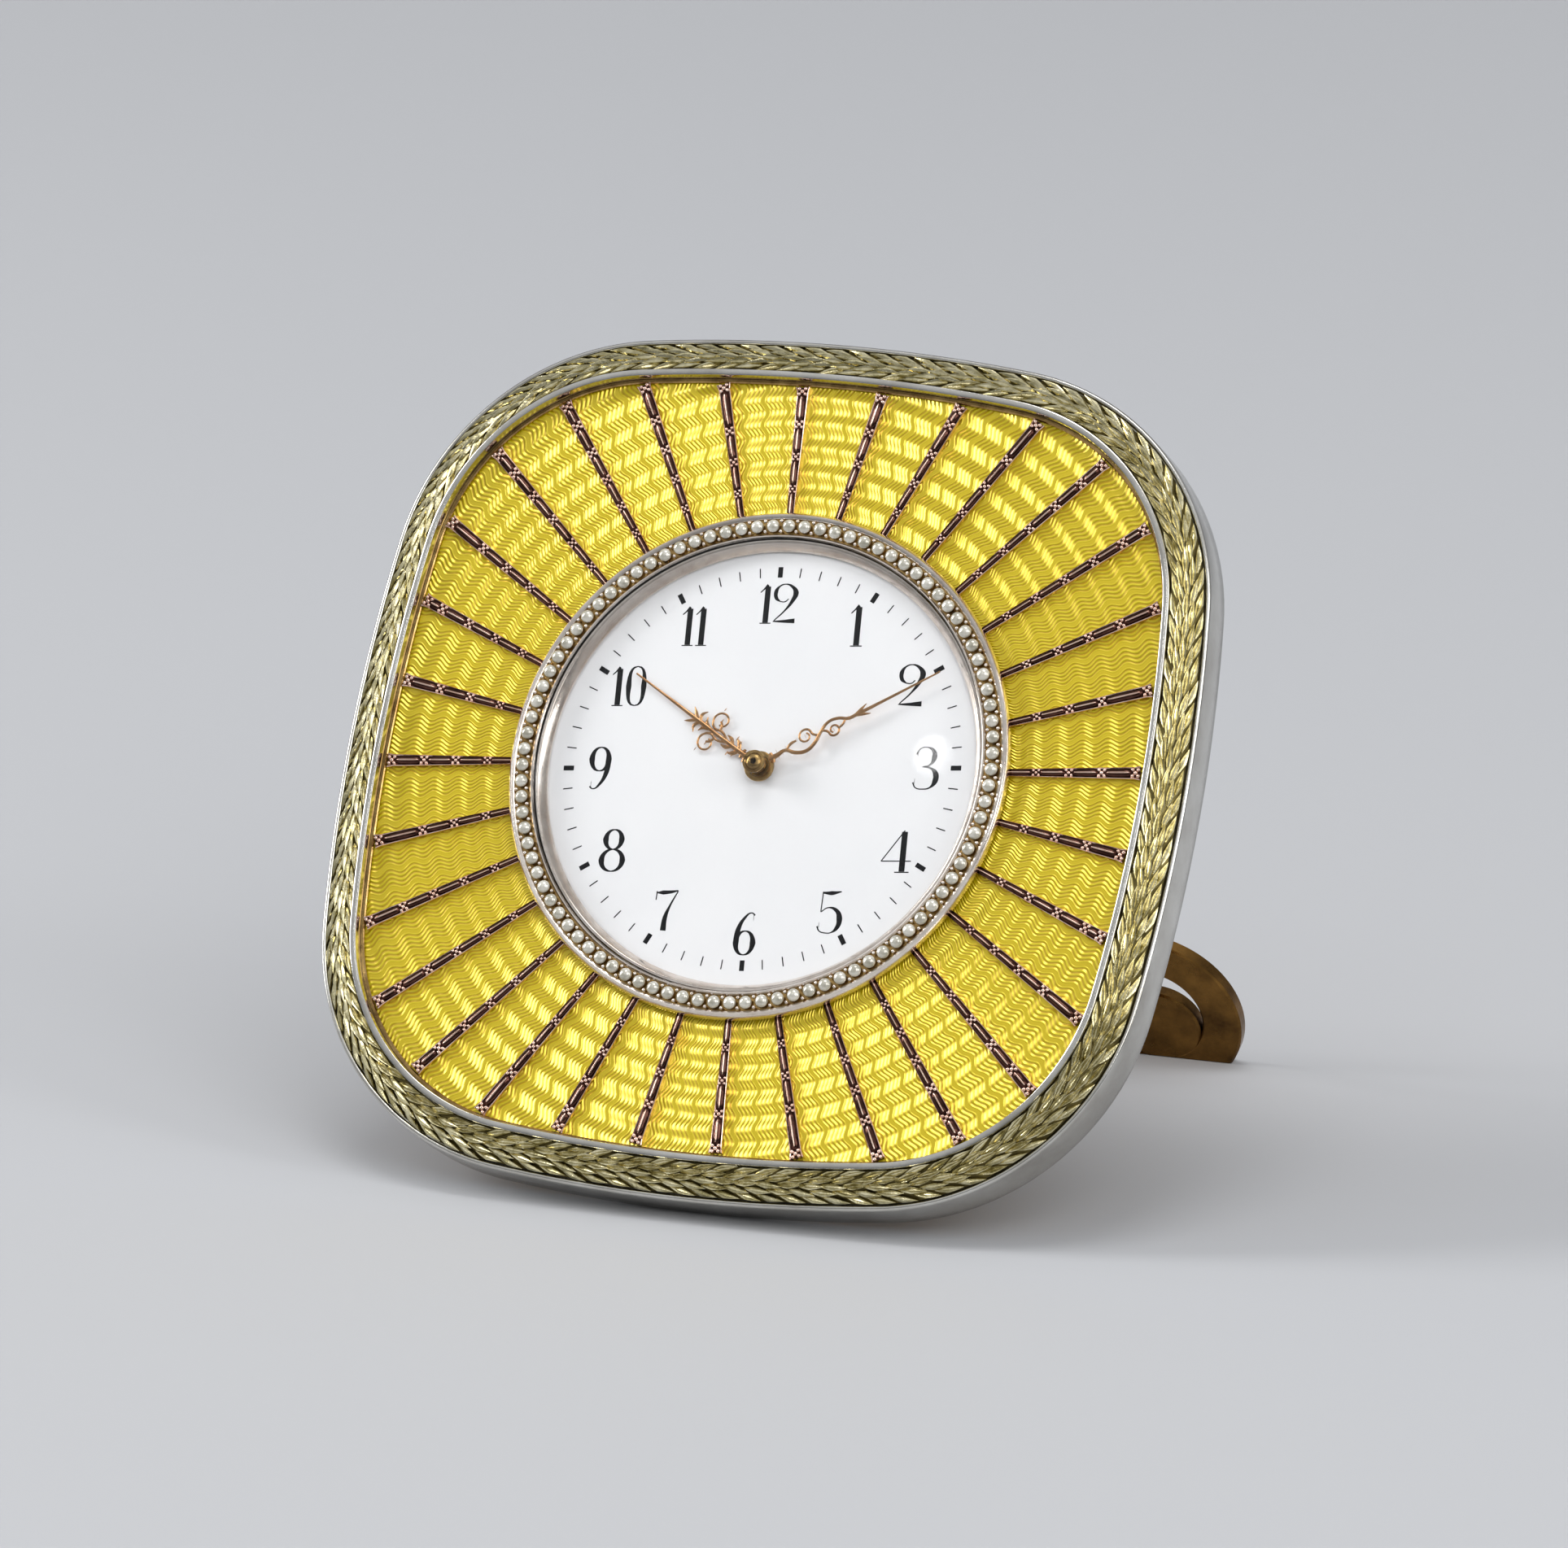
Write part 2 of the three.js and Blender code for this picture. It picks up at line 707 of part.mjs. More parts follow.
// Wheels and pinions
function wheel(teeth, pitchRadius, tipDirection, bore, top, thickness, place) {
  const rim = toothed(teeth, pitchRadius, tipDirection);
  const disc = plate(rim, top - thickness, top, [circle(bore, smallSteps)]);
  return disc.translate(place[0], place[1], 0);
}

// An arbor with leaves over part of its length, thinner or thicker past them
function pinion(leaves, pitchRadius, gapDirection, span, leafSpan, radii, place) {
  const round = (radius) => {
    const tip = gapDirection + Math.PI / leaves;
    return Array.from({ length: 2 * leaves }, (_, i) => polar(radius, tip + (i / leaves) * Math.PI));
  };
  const leaf = toothed(leaves, pitchRadius, gapDirection + Math.PI / leaves);
  const rings = [
    level(round(radii[0]), span[0]),
    level(round(radii[0]), leafSpan[0]),
    level(leaf, leafSpan[0]),
    level(leaf, leafSpan[1]),
    level(round(radii[1]), leafSpan[1]),
    level(round(radii[1]), span[1]),
  ];
  if (radii.length === 3) {
    rings.push(level(round(radii[2]), span[1]));
    rings.push(level(round(radii[2]), span[0]));
  }
  return loft(rings, radii.length === 3).translate(place[0], place[1], 0);
}

const trainSpan = [rearPivot, frontPivot];
const wheelTop = (height) => plateBack - height;
function leafSpan(height, thickness) {
  return [wheelTop(height) - thickness - pinionOverhang, wheelTop(height) + pinionOverhang];
}

// Barrel with cover, spring and arbor
const barrelTop = wheelTop(barrelLevel);
const barrelBack = barrelTop - barrelDepth;
const barrelOuter = barrelPitch - barrelRim;
const barrelInner = barrelOuter - barrelWall;
const arborBore = barrelArborRadius + run;
const toothTurn = barrelDirection + Math.PI;
const barrelTeethDisc = wheel(
  barrelTeeth, barrelPitch, toothTurn, arborBore, barrelTop, barrelToothWidth, centre,
);
const barrelFloor = barrelTop - barrelToothWidth;
const barrelShell = turned([
  [barrelInner, barrelBack],
  [barrelOuter, barrelBack],
  [barrelOuter, barrelFloor + barrelToothWidth / 2],
  [barrelInner, barrelFloor + barrelToothWidth / 2],
], smallSteps * 2);
piece('barrel', join(barrelTeethDisc, barrelShell).translate(barrelAt[0], barrelAt[1], 0), 'brass');

const coverTop = barrelBack + wheelThickness;
piece('barrel_cover', turned([
  [arborBore, barrelBack],
  [barrelInner - seat, barrelBack],
  [barrelInner - seat, coverTop],
  [arborBore, coverTop],
], smallSteps * 2).translate(barrelAt[0], barrelAt[1], 0), 'brass');

// A flat spiral strip from one radius out to another
function spiral(inner, outer, turns, strip, from, to) {
  const steps = turns * smallSteps;
  const inside = [];
  const outside = [];
  for (let i = 0; i <= steps; i += 1) {
    const share = i / steps;
    const direction = share * turns * 2 * Math.PI;
    const radius = inner + (outer - inner - strip) * share;
    inside.push(polar(radius, direction));
    outside.push(polar(radius + strip, direction));
  }
  return plate([...outside, ...inside.reverse()], from, to);
}
const mainspring = spiral(
  arborBore + seat, barrelInner - seat, springTurns, springStrip, coverTop + seat, barrelFloor - seat,
);
piece('mainspring', mainspring.translate(barrelAt[0], barrelAt[1], 0), 'steel');
piece('barrel_arbor', rod(barrelArborRadius, keyBack + keyLength / 2, frontPivot, barrelAt), 'steel');

// Centre, third, fourth and escape wheels
const centreBore = setArborRadius + run;
piece('centre_pinion', pinion(
  centreLeaves, centreLeafPitch, barrelDirection, trainSpan, leafSpan(barrelLevel, barrelToothWidth),
  [centreArborRadius, centreArborRadius, centreBore], centre,
), 'steel');
piece('centre_wheel', wheel(
  centreTeeth, centrePitch, thirdDirection, centreArborRadius + run,
  wheelTop(centreLevel), wheelThickness, centre,
), 'brass');

piece('third_pinion', pinion(
  thirdLeaves, thirdLeafPitch, thirdDirection + Math.PI, trainSpan, leafSpan(centreLevel, wheelThickness),
  [thirdArborRadius, thirdArborRadius], thirdAt,
), 'steel');
piece('third_wheel', wheel(
  thirdTeeth, thirdPitch, fourthDirection, thirdArborRadius + run,
  wheelTop(thirdLevel), wheelThickness, thirdAt,
), 'brass');

piece('fourth_pinion', pinion(
  fourthLeaves, fourthLeafPitch, fourthDirection + Math.PI, trainSpan, leafSpan(thirdLevel, wheelThickness),
  [fourthArborRadius, fourthArborRadius], fourthAt,
), 'steel');
piece('fourth_wheel', wheel(
  fourthTeeth, fourthPitch, escapeDirection, fourthArborRadius + run,
  wheelTop(fourthLevel), wheelThickness, fourthAt,
), 'brass');

piece('escape_pinion', pinion(
  escapeLeaves, escapeLeafPitch, escapeDirection + Math.PI, trainSpan, leafSpan(fourthLevel, wheelThickness),
  [escapeArborRadius, escapeArborRadius], escapeAt,
), 'steel');
const escapeOutline = Array.from({ length: 2 * escapeTeeth }, (_, i) => (
  polar(i % 2 ? escapeRadius : escapeRadius * 0.72, ((i + (i % 2) * 0.7) / escapeTeeth) * Math.PI)
));
const escapeTop = wheelTop(escapeLevel);
const escapeBore = circle(escapeArborRadius + run, smallSteps);
piece('escape_wheel', plate(escapeOutline, escapeTop - wheelThickness, escapeTop, [escapeBore])
  .translate(escapeAt[0], escapeAt[1], 0), 'brass');

// Pallet lever: an anchor round the escape wheel, a stem to the balance and an arbor
const anchorSpread = 28 * degree;
const anchorInner = escapeRadius + 2 * seat;
const anchorOuter = escapeRadius + 1.0;
const anchorSteps = 6;
const anchorPoints = [];
for (let i = 0; i <= anchorSteps; i += 1) {
  anchorPoints.push(polar(anchorOuter, palletDirection + anchorSpread * ((2 * i) / anchorSteps - 1)));
}
for (let i = anchorSteps; i >= 0; i -= 1) {
  anchorPoints.push(polar(anchorInner, palletDirection + anchorSpread * ((2 * i) / anchorSteps - 1)));
}
const leverTop = escapeTop;
const leverBack = leverTop - leverThickness;
const anchor = plate(anchorPoints, leverBack, leverTop).translate(escapeAt[0], escapeAt[1], 0);
const stemLength = balanceDistance - balanceHub - 2 * seat;
const stem = new THREE.BoxGeometry(stemLength, 2 * leverArborRadius, leverThickness)
  .translate(stemLength / 2, 0, leverBack + leverThickness / 2)
  .rotateZ(balanceDirection)
  .translate(palletAt[0], palletAt[1], 0);
const leverArbor = rod(leverArborRadius, ...trainSpan, palletAt);
piece('pallet_lever', join(leverArbor, anchor, stem), 'steel');

// Balance, hairspring and cock behind the rear plate
const balanceFront = rearPlateBack - balanceClearance;
const balanceBack = balanceFront - balanceThickness;
const cockFront = rearPlateBack - cockRise;
const cockBack = cockFront - cockThickness;
const rim = turned([
  [balanceRadius - balanceRim, balanceBack],
  [balanceRadius, balanceBack],
  [balanceRadius, balanceFront],
  [balanceRadius - balanceRim, balanceFront],
], smallSteps * 2);
const spoke = new THREE.BoxGeometry(2 * balanceRadius - balanceRim, balanceRim, balanceThickness / 2)
  .translate(0, 0, (balanceFront + balanceBack) / 2);
const hub = rod(balanceHub, balanceBack, balanceFront);
const staffHole = rod(balanceStaffRadius + run, balanceBack - seat, balanceFront + seat);
const balanceWheel = cut(join(rim, spoke, hub), staffHole);
piece('balance_wheel', balanceWheel.translate(balanceAt[0], balanceAt[1], 0), 'brass');
piece('balance_staff', rod(balanceStaffRadius, cockBack + seat, frontPivot, balanceAt), 'steel');

const hairBack = balanceBack - 2 * seat - hairHeight;
const hairInner = balanceStaffRadius + 2 * run;
const hairspring = spiral(hairInner, hairOuter, hairTurns, hairStrip, hairBack, hairBack + hairHeight);
piece('hairspring', hairspring.translate(balanceAt[0], balanceAt[1], 0), 'steel');

const armSteps = smallSteps / 2;
const cockOutline = [];
for (let i = 0; i <= armSteps; i += 1) {
  cockOutline.push(along(cockFootAt, cockFootRadius, balanceOut + Math.PI * (i / armSteps - 0.5)));
}
for (let i = 0; i <= armSteps; i += 1) {
  cockOutline.push(along(balanceAt, cockFootRadius, balanceOut + Math.PI * (i / armSteps + 0.5)));
}
const cockScrewRadius = screwRadius / 2;
const cockArm = plate(cockOutline, cockBack, cockFront);
const cockFoot = rod(cockFootRadius, cockFront - cockThickness / 2, rearPlateBack - seat, cockFootAt);
const staffBore = rod(balanceStaffRadius + run, cockBack - seat, cockFront + seat, balanceAt);
const screwBore = rod(cockScrewRadius + run, cockBack - seat, rearPlateBack, cockFootAt);
piece('balance_cock', cut(join(cockArm, cockFoot), staffBore, screwBore), 'brass');

function screw(shank, headRadius, headHeight, headTop, tip, place) {
  return join(
    rod(headRadius, headTop - headHeight, headTop, place, screwSteps),
    rod(shank, headTop - headHeight / 2, tip, place, screwSteps),
  );
}
piece('cock_screw', screw(
  cockScrewRadius, cockFootRadius * 0.7, screwHeadHeight / 2,
  cockBack - seat, rearPlateBack - seat, cockFootAt,
), 'steel');

// Ratchet, click and click spring behind the rear plate, drawn round the barrel's axis
const ratchetFront = rearPlateBack - seat;
const ratchetBack = ratchetFront - ratchetThickness;
const ratchetPoints = [];
for (let tooth = 0; tooth < ratchetTeeth; tooth += 1) {
  const start = clickAngle + (tooth / ratchetTeeth) * 2 * Math.PI;
  ratchetPoints.push(polar(ratchetTip, start));
  ratchetPoints.push(polar(ratchetRoot, start + 0.02));
}
piece('ratchet_wheel', plate(ratchetPoints, ratchetBack, ratchetFront, [circle(arborBore, smallSteps)])
  .translate(barrelAt[0], barrelAt[1], 0), 'steel');

const engagement = (ratchetTip - ratchetRoot) / 3;
const clickTip = ratchetTip - engagement;
const fromPivot = ([x, y]) => [clickPivot[0] + x, clickPivot[1] + y];
const clickPoints = [
  polar(clickTip, clickBite[0]),
  ...clickShape.map(fromPivot),
  polar(clickTip, clickBite[1]),
];
const clickBack = ratchetFront - clickThickness;
const clickArm = plate(clickPoints, clickBack, ratchetFront);
const clickPin = rod(screwRadius / 2, ratchetFront - clickThickness / 2, rearPlateFront, clickPivot);
const click = join(clickArm, clickPin).rotateZ(clickAngle).translate(barrelAt[0], barrelAt[1], 0);
piece('click', click, 'steel');
const clickSpring = plate(clickSpringShape.map(fromPivot), clickBack, ratchetFront);
piece('click_spring', clickSpring.rotateZ(clickAngle).translate(barrelAt[0], barrelAt[1], 0), 'steel');

// Motion work under the dial: cannon pinion on the set arbor, minute wheel, hour wheel
const motionModule = (2 * motionPitch) / (cannonLeaves + minuteTeeth);
const cannonPitch = (motionModule * cannonLeaves) / 2;
const minutePitch = (motionModule * minuteTeeth) / 2;
const upperModule = (2 * motionPitch) / (minuteLeaves + hourTeeth);
const minuteLeafPitch = (upperModule * minuteLeaves) / 2;
const hourPitch = (upperModule * hourTeeth) / 2;
const motionThickness = motionGap / 5;
const minuteWheelTop = plateFront + seat + motionThickness;
const hourWheelTop = dialBack - seat;
const hourWheelBack = hourWheelTop - motionThickness;
const cannonSpan = [plateFront + seat, hourWheelBack - seat];
const setArbor = pinion(
  cannonLeaves, cannonPitch, motionDirection, [knobBack, arborTop], cannonSpan,
  [setArborRadius, cannonRadius], centre,
);
piece('set_arbor', setArbor, 'steel');

const postBore = circle(postRadius + run, smallSteps);
const minuteDisc = plate(
  toothed(minuteTeeth, minutePitch, motionDirection + Math.PI), plateFront + seat, minuteWheelTop, [postBore],
);
const minuteLeaf = plate(
  toothed(minuteLeaves, minuteLeafPitch, motionDirection + Math.PI),
  minuteWheelTop - motionThickness / 2, hourWheelTop, [postBore],
);
piece('minute_wheel', join(minuteDisc, minuteLeaf).translate(postAt[0], postAt[1], 0), 'brass');

const pipeBore = cannonRadius + run;
const hourGap = motionDirection + Math.PI / hourTeeth;
const hourDisc = plate(toothed(hourTeeth, hourPitch, hourGap), hourWheelBack, hourWheelTop, [
  circle(pipeBore, smallSteps),
]);
const pipeFrom = hourWheelTop - motionThickness / 2;
const hourPipe = plate(circle(hourPipeRadius, smallSteps), pipeFrom, hourColletTop, [
  circle(pipeBore, smallSteps),
]);
piece('hour_wheel', join(hourDisc, hourPipe), 'brass');

// Drum, cap, winding key and setting knob
const backRear = backRecess;
const backFront = backRear + backThickness;
const drumFlangeBack = backFront + seat;
const drumFlangeFront = drumFlangeBack + drumFlangeThickness;
const drumFlangeOuter = drumOuter + drumFlangeWidth;
const drumFront = flangeUnderside - sleeveDepth - seat;
piece('movement_drum', turned([
  [drumInner, drumRear],
  [drumOuter, drumRear],
  [drumOuter, drumFlangeBack],
  [drumFlangeOuter, drumFlangeBack],
  [drumFlangeOuter, drumFlangeFront],
  [drumOuter, drumFlangeFront],
  [drumOuter, drumFront],
  [drumInner, drumFront],
]), 'gilt');

const skirtOuter = drumInner - seat;
const skirtInner = skirtOuter - drumWall;
const capDisc = turned([
  [setArborRadius + seat, capBack],
  [drumOuter - capBevel, capBack],
  [drumOuter, capBack + capBevel],
  [drumOuter, capFront],
  [skirtOuter, capFront],
  [skirtOuter, capFront + capSkirt],
  [skirtInner, capFront + capSkirt],
  [skirtInner, capFront],
  [setArborRadius + seat, capFront],
]);
const keyHole = rod(barrelArborRadius + seat, capBack - seat, capFront + seat, barrelAt);
piece('drum_cap', cut(capDisc, keyHole), 'gilt');

const keyHub = rod(keyHubRadius, keyBack + keyLength / 3, keyFront, centre, smallSteps * 2);
const wing = plate(circle(1, smallSteps * 2), -keyThickness / 2, keyThickness / 2)
  .scale(keyWing, keyWingHeight / 2, 1)
  .rotateX(Math.PI / 2)
  .translate(0, 0, keyBack + keyWingHeight / 2);
const keySocket = rod(barrelArborRadius + run, keyBack + keyLength / 2 - seat, keyFront + seat);
piece('winding_key', cut(join(keyHub, wing), keySocket).translate(barrelAt[0], barrelAt[1], 0), 'gilt');

const knobPoints = Array.from({ length: 2 * knobRidges }, (_, i) => (
  polar(knobRadius - (i % 2) * seat, (i / knobRidges) * Math.PI)
));
piece('set_knob', plate(knobPoints, knobBack, knobFront, [
  circle(setArborRadius + run, smallSteps),
]), 'gilt');

// Ring of the strut round the drum, and the hinge's height over it
const ringInner = drumOuter + ringClearance;
const ringOuter = ringInner + strutBand;
const hingeHeight = ringOuter + hingeClearance + knuckleRadius;

// Back plate round the drum, held by four screws into the flange
const backInset = bandWall + seat;
const screwAcross = caseHalf - (bandWall + flangeInner) / 2;
const backScrews = [1, -1].flatMap((side) => (
  [backScrewHeight, -backScrewHeight].map((height) => [side * screwAcross, height])
));
const leafScrewY = hingeHeight + (knuckleRadius + leafHeight) / 2;
const leafScrews = [-1, 1].map((side) => [(side * leafScrewSpacing) / 2, leafScrewY]);
piece('back_plate', plate(outline(backInset), backRear, backFront, [
  circle(drumOuter + seat, roundSteps),
  ...[...backScrews, ...leafScrews].map((place) => circle(screwRadius + run, screwSteps, place)),
]), 'gilt');
backScrews.forEach((place, i) => {
  const tip = flangeBottom - seat;
  piece(`back_screw_${i + 1}`, screw(
    screwRadius, screwHeadRadius, screwHeadHeight, backRear - seat, tip, place,
  ), 'gilt');
});

// Strut hinge: leaf with two knuckles, pin and screws
const hingeZ = -hingeDrop;
const leafFront = backRear - seat;
const leafBack = leafFront - leafThickness;
const leafHalfWidth = knuckleWidth / 2 + seat + leafKnuckleWidth;

function knuckle(width, middle, radius) {
  return rod(radius, middle - width / 2, middle + width / 2, [0, 0], 2 * screwSteps)
    .rotateY(Math.PI / 2)
    .translate(0, hingeHeight, hingeZ);
}
const leafPlate = plate([
  [-leafHalfWidth, hingeHeight],
  [leafHalfWidth, hingeHeight],
  [leafHalfWidth, hingeHeight + leafHeight],
  [-leafHalfWidth, hingeHeight + leafHeight],
], leafBack, leafFront, leafScrews.map((place) => circle(screwRadius + run, screwSteps, place)));
const leafMiddle = knuckleWidth / 2 + seat + leafKnuckleWidth / 2;
const gapSide = 2 * (knuckleRadius + seat);
const middleGap = new THREE.BoxGeometry(knuckleWidth + 2 * seat, gapSide, gapSide)
  .translate(0, hingeHeight, hingeZ);
const leafSolid = join(
  cut(leafPlate, middleGap), knuckle(leafKnuckleWidth, leafMiddle, knuckleRadius),
  knuckle(leafKnuckleWidth, -leafMiddle, knuckleRadius),
);
piece('hinge_leaf', cut(leafSolid, knuckle(2 * leafHalfWidth + 1, 0, pinRadius + run)), 'gilt');
piece('hinge_pin', knuckle(2 * leafHalfWidth, 0, pinRadius), 'steel');
leafScrews.forEach((place, i) => {
  piece(`hinge_screw_${i + 1}`, screw(
    screwRadius, screwHeadRadius * 0.9, screwHeadHeight, leafBack - seat, backFront, place,
  ), 'gilt');
});

// Strut, drawn flat with its hinge axis at the origin, then swung until its sole meets the table
const lowest = Math.min(...outline(0).map(([, y]) => y));
const tableHeight = lowest * Math.cos(lean) + rearBevel * Math.sin(lean);
const hingeAbove = hingeHeight * Math.cos(lean) + hingeZ * Math.sin(lean) - tableHeight;
const strutFromUpright = Math.acos(hingeAbove / strutLength);
const strutOpen = lean + strutFromUpright;
const strutFront = strutThickness / 2;
const slab = (points, holes) => plate(points, -strutFront, strutFront, holes);

const ringAt = [0, -hingeHeight];
const strutRing = slab(circle(ringOuter, roundSteps, ringAt), [circle(ringInner, roundSteps, ringAt)]);
const strutTab = slab([
  [-knuckleWidth / 2, ringAt[1] + ringInner + strutBand / 2],
  [knuckleWidth / 2, ringAt[1] + ringInner + strutBand / 2],
  [knuckleWidth / 2, 0],
  [-knuckleWidth / 2, 0],
]);
const strutBarrel = knuckle(knuckleWidth, 0, knuckleRadius).translate(0, -hingeHeight, -hingeZ);
const footAt = [footCentreX, footCentreRise - strutLength];
const barTop = footAt[1] + footRadius;
const strutBar = slab([
  [-footCentreX, barTop - strutBand],
  [footCentreX, barTop - strutBand],
  [footCentreX, barTop],
  [-footCentreX, barTop],
]);
const neckFrom = barTop - strutBand / 2;
const neckTo = ringAt[1] - ringInner - strutBand / 2;
const strutNeck = slab([
  [-knuckleWidth / 2, neckFrom],
  [knuckleWidth / 2, neckFrom],
  [knuckleWidth / 2, neckTo],
  [-knuckleWidth / 2, neckTo],
]);
const scrollSteps = smallSteps * 2;
const crescentRadius = footRadius - strutBand;
const disc = (side, radius, shift) => {
  const at = [side * (footAt[0] + shift[0]), footAt[1] + shift[1]];
  return slab(circle(radius, scrollSteps, at));
};
const feet = [1, -1].map((side) => (
  cut(disc(side, footRadius, [0, 0]), disc(side, crescentRadius, [0, 0]))
));
const eyes = [1, -1].map((side) => disc(side, eyeRadius, eyeShift));
const soleCut = new THREE.BoxGeometry(4 * footCentreX, 2 * footRadius, 4 * strutThickness)
  .translate(0, -footRadius, 0)
  .rotateX(-strutFromUpright)
  .translate(0, -strutLength, 0);
const pinHole = knuckle(2 * knuckleWidth, 0, pinRadius + run).translate(0, -hingeHeight, -hingeZ);
const strutWhole = join(strutRing, strutTab, strutBarrel, strutNeck, strutBar, ...feet, ...eyes);
const strut = piece('strut', cut(strutWhole, soleCut, pinHole), 'gilt');
strut.position.set(0, hingeHeight, hingeZ);
strut.rotation.x = strutOpen;

// Stand the clock with the middle of its base at the origin
const standing = new THREE.Group();
standing.add(clock);
standing.updateMatrixWorld(true);
const box = new THREE.Box3().setFromObject(standing, true);
clock.position.set(-(box.min.x + box.max.x) / 2, -(box.min.y + box.max.y) / 2, -box.min.z);

export default standing;
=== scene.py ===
import json
from math import acos, atan2, cos, hypot, pi, radians, sin, sqrt

import bmesh
import bpy
from mathutils import Matrix, Vector


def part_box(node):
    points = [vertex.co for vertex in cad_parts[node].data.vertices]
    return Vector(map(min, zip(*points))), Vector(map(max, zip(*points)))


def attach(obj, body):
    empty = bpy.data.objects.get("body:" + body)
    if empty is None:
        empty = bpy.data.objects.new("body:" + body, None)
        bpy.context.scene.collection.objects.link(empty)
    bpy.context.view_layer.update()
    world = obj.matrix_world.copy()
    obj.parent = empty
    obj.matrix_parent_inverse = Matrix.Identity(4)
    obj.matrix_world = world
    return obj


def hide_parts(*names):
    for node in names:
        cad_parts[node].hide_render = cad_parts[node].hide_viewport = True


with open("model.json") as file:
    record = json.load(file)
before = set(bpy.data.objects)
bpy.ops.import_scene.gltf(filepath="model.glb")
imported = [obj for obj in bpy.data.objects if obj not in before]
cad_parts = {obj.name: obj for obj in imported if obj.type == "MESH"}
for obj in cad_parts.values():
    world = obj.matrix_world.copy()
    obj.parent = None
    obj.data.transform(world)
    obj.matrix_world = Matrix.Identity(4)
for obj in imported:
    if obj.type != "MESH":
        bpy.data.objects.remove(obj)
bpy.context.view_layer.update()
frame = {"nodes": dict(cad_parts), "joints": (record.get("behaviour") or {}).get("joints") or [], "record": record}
print("frame loaded")

# The face's own frame: x to the right, y up the face, z out of it, in millimetres from the rear edge.
# The minute hand's axis gives its place and its lean.
mm = 0.001
joints = {joint["name"]: joint for joint in frame["joints"]}
faceOut = Vector(joints["minute_hand_turn"]["axis"]).normalized()
faceUp = faceOut.cross(Vector((1, 0, 0)))
faceOrigin = Vector(joints["minute_hand_turn"]["pos_m"])
faceTurn = Matrix((Vector((1, 0, 0)), faceUp, faceOut)).transposed().to_4x4()
facePlace = Matrix.Translation(faceOrigin) @ faceTurn
faceLean = atan2(faceUp.z, faceUp.y)  # the face's turn about X from lying flat

# Camera

camera = {"azimuth": 21.4, "elevation": 14.4, "distance": 1.34, "lens": 259.7, "sensor": 36,
          "right": 2.68, "down": 0.69, "dialHeight": 7.0}
azimuth, elevation = radians(camera["azimuth"]), radians(camera["elevation"])
toCamera = Vector((sin(azimuth) * cos(elevation), -cos(azimuth) * cos(elevation), sin(elevation)))
cameraRight = Vector((cos(azimuth), sin(azimuth), 0))
cameraUp = toCamera.cross(cameraRight)
aim = facePlace @ Vector((0, 0, camera["dialHeight"] * mm))
aim += cameraRight * camera["right"] * mm - cameraUp * camera["down"] * mm
cameraData = bpy.data.cameras.new("camera")
cameraData.lens = camera["lens"]
cameraData.sensor_width = camera["sensor"]
cameraObject = bpy.data.objects.new("camera", cameraData)
cameraTurn = Matrix((cameraRight, cameraUp, toCamera)).transposed().to_4x4()
cameraObject.matrix_world = Matrix.Translation(aim + toCamera * camera["distance"]) @ cameraTurn
bpy.context.scene.collection.objects.link(cameraObject)
bpy.context.scene.camera = cameraObject

# Materials


def colour(code):
    parts = [int(code[i:i + 2], 16) / 255 for i in (1, 3, 5)]
    return [p / 12.92 if p <= 0.04045 else ((p + 0.055) / 1.055) ** 2.4 for p in parts] + [1]


# Sets a node's inputs: plain values, or nodes and sockets that are linked
def connect(material, node, inputs):
    for socket, value in inputs.items():
        if isinstance(value, bpy.types.Node):
            value = value.outputs[0]
        if isinstance(value, bpy.types.NodeSocket):
            material.node_tree.links.new(value, node.inputs[socket])
        else:
            node.inputs[socket].default_value = value


def addNode(material, kind, inputs, **settings):
    node = material.node_tree.nodes.new(kind)
    for name, value in settings.items():
        setattr(node, name, value)
    connect(material, node, inputs)
    return node


def newMaterial(name, inputs):
    material = bpy.data.materials.new(name)
    material.use_nodes = True
    shader = material.node_tree.nodes["Principled BSDF"]
    connect(material, shader, inputs)
    return material, shader


# Object coordinates turned into the face's frame, in millimetres
def faceCoordinates(material):
    return addNode(material, "ShaderNodeMapping", {
        "Vector": addNode(material, "ShaderNodeTexCoord", {}).outputs["Object"],
        "Location": faceOrigin, "Rotation": (faceLean, 0, 0), "Scale": (mm, mm, mm),
    }, vector_type="TEXTURE")


# Worn metal: clouds of tarnish, smudges that change the gloss, and fine dents and scratches.
# The cloud and grit sizes are in millimetres.
def wornMetal(name, bright, dull, roughness, cloud, grit=0.25, dent=0.02):
    material, shader = newMaterial(name, {"Metallic": 1.0})
    place = faceCoordinates(material)
    tarnish = addNode(material, "ShaderNodeTexNoise", {
        "Vector": place, "Scale": 1 / cloud, "Detail": 5.0, "Roughness": 0.65})
    blend = addNode(material, "ShaderNodeMapRange", {"Value": tarnish, "From Min": 0.35, "From Max": 0.7})
    tint = addNode(material, "ShaderNodeMix", {
        0: blend, 6: colour(bright), 7: colour(dull)}, data_type="RGBA")
    smudge = addNode(material, "ShaderNodeTexNoise", {"Vector": place, "Scale": 1.7 / cloud, "Detail": 3.0})
    gloss = addNode(material, "ShaderNodeMapRange", {
        "Value": smudge, "From Min": 0.3, "From Max": 0.75,
        "To Min": roughness * 0.75, "To Max": roughness * 1.5})
    dents = addNode(material, "ShaderNodeTexNoise", {"Vector": place, "Scale": 1 / grit, "Detail": 4.0})
    bump = addNode(material, "ShaderNodeBump", {"Height": dents, "Distance": dent * mm, "Strength": 0.6})
    connect(material, shader, {"Base Color": tint.outputs[2], "Roughness": gloss, "Normal": bump})
    return material


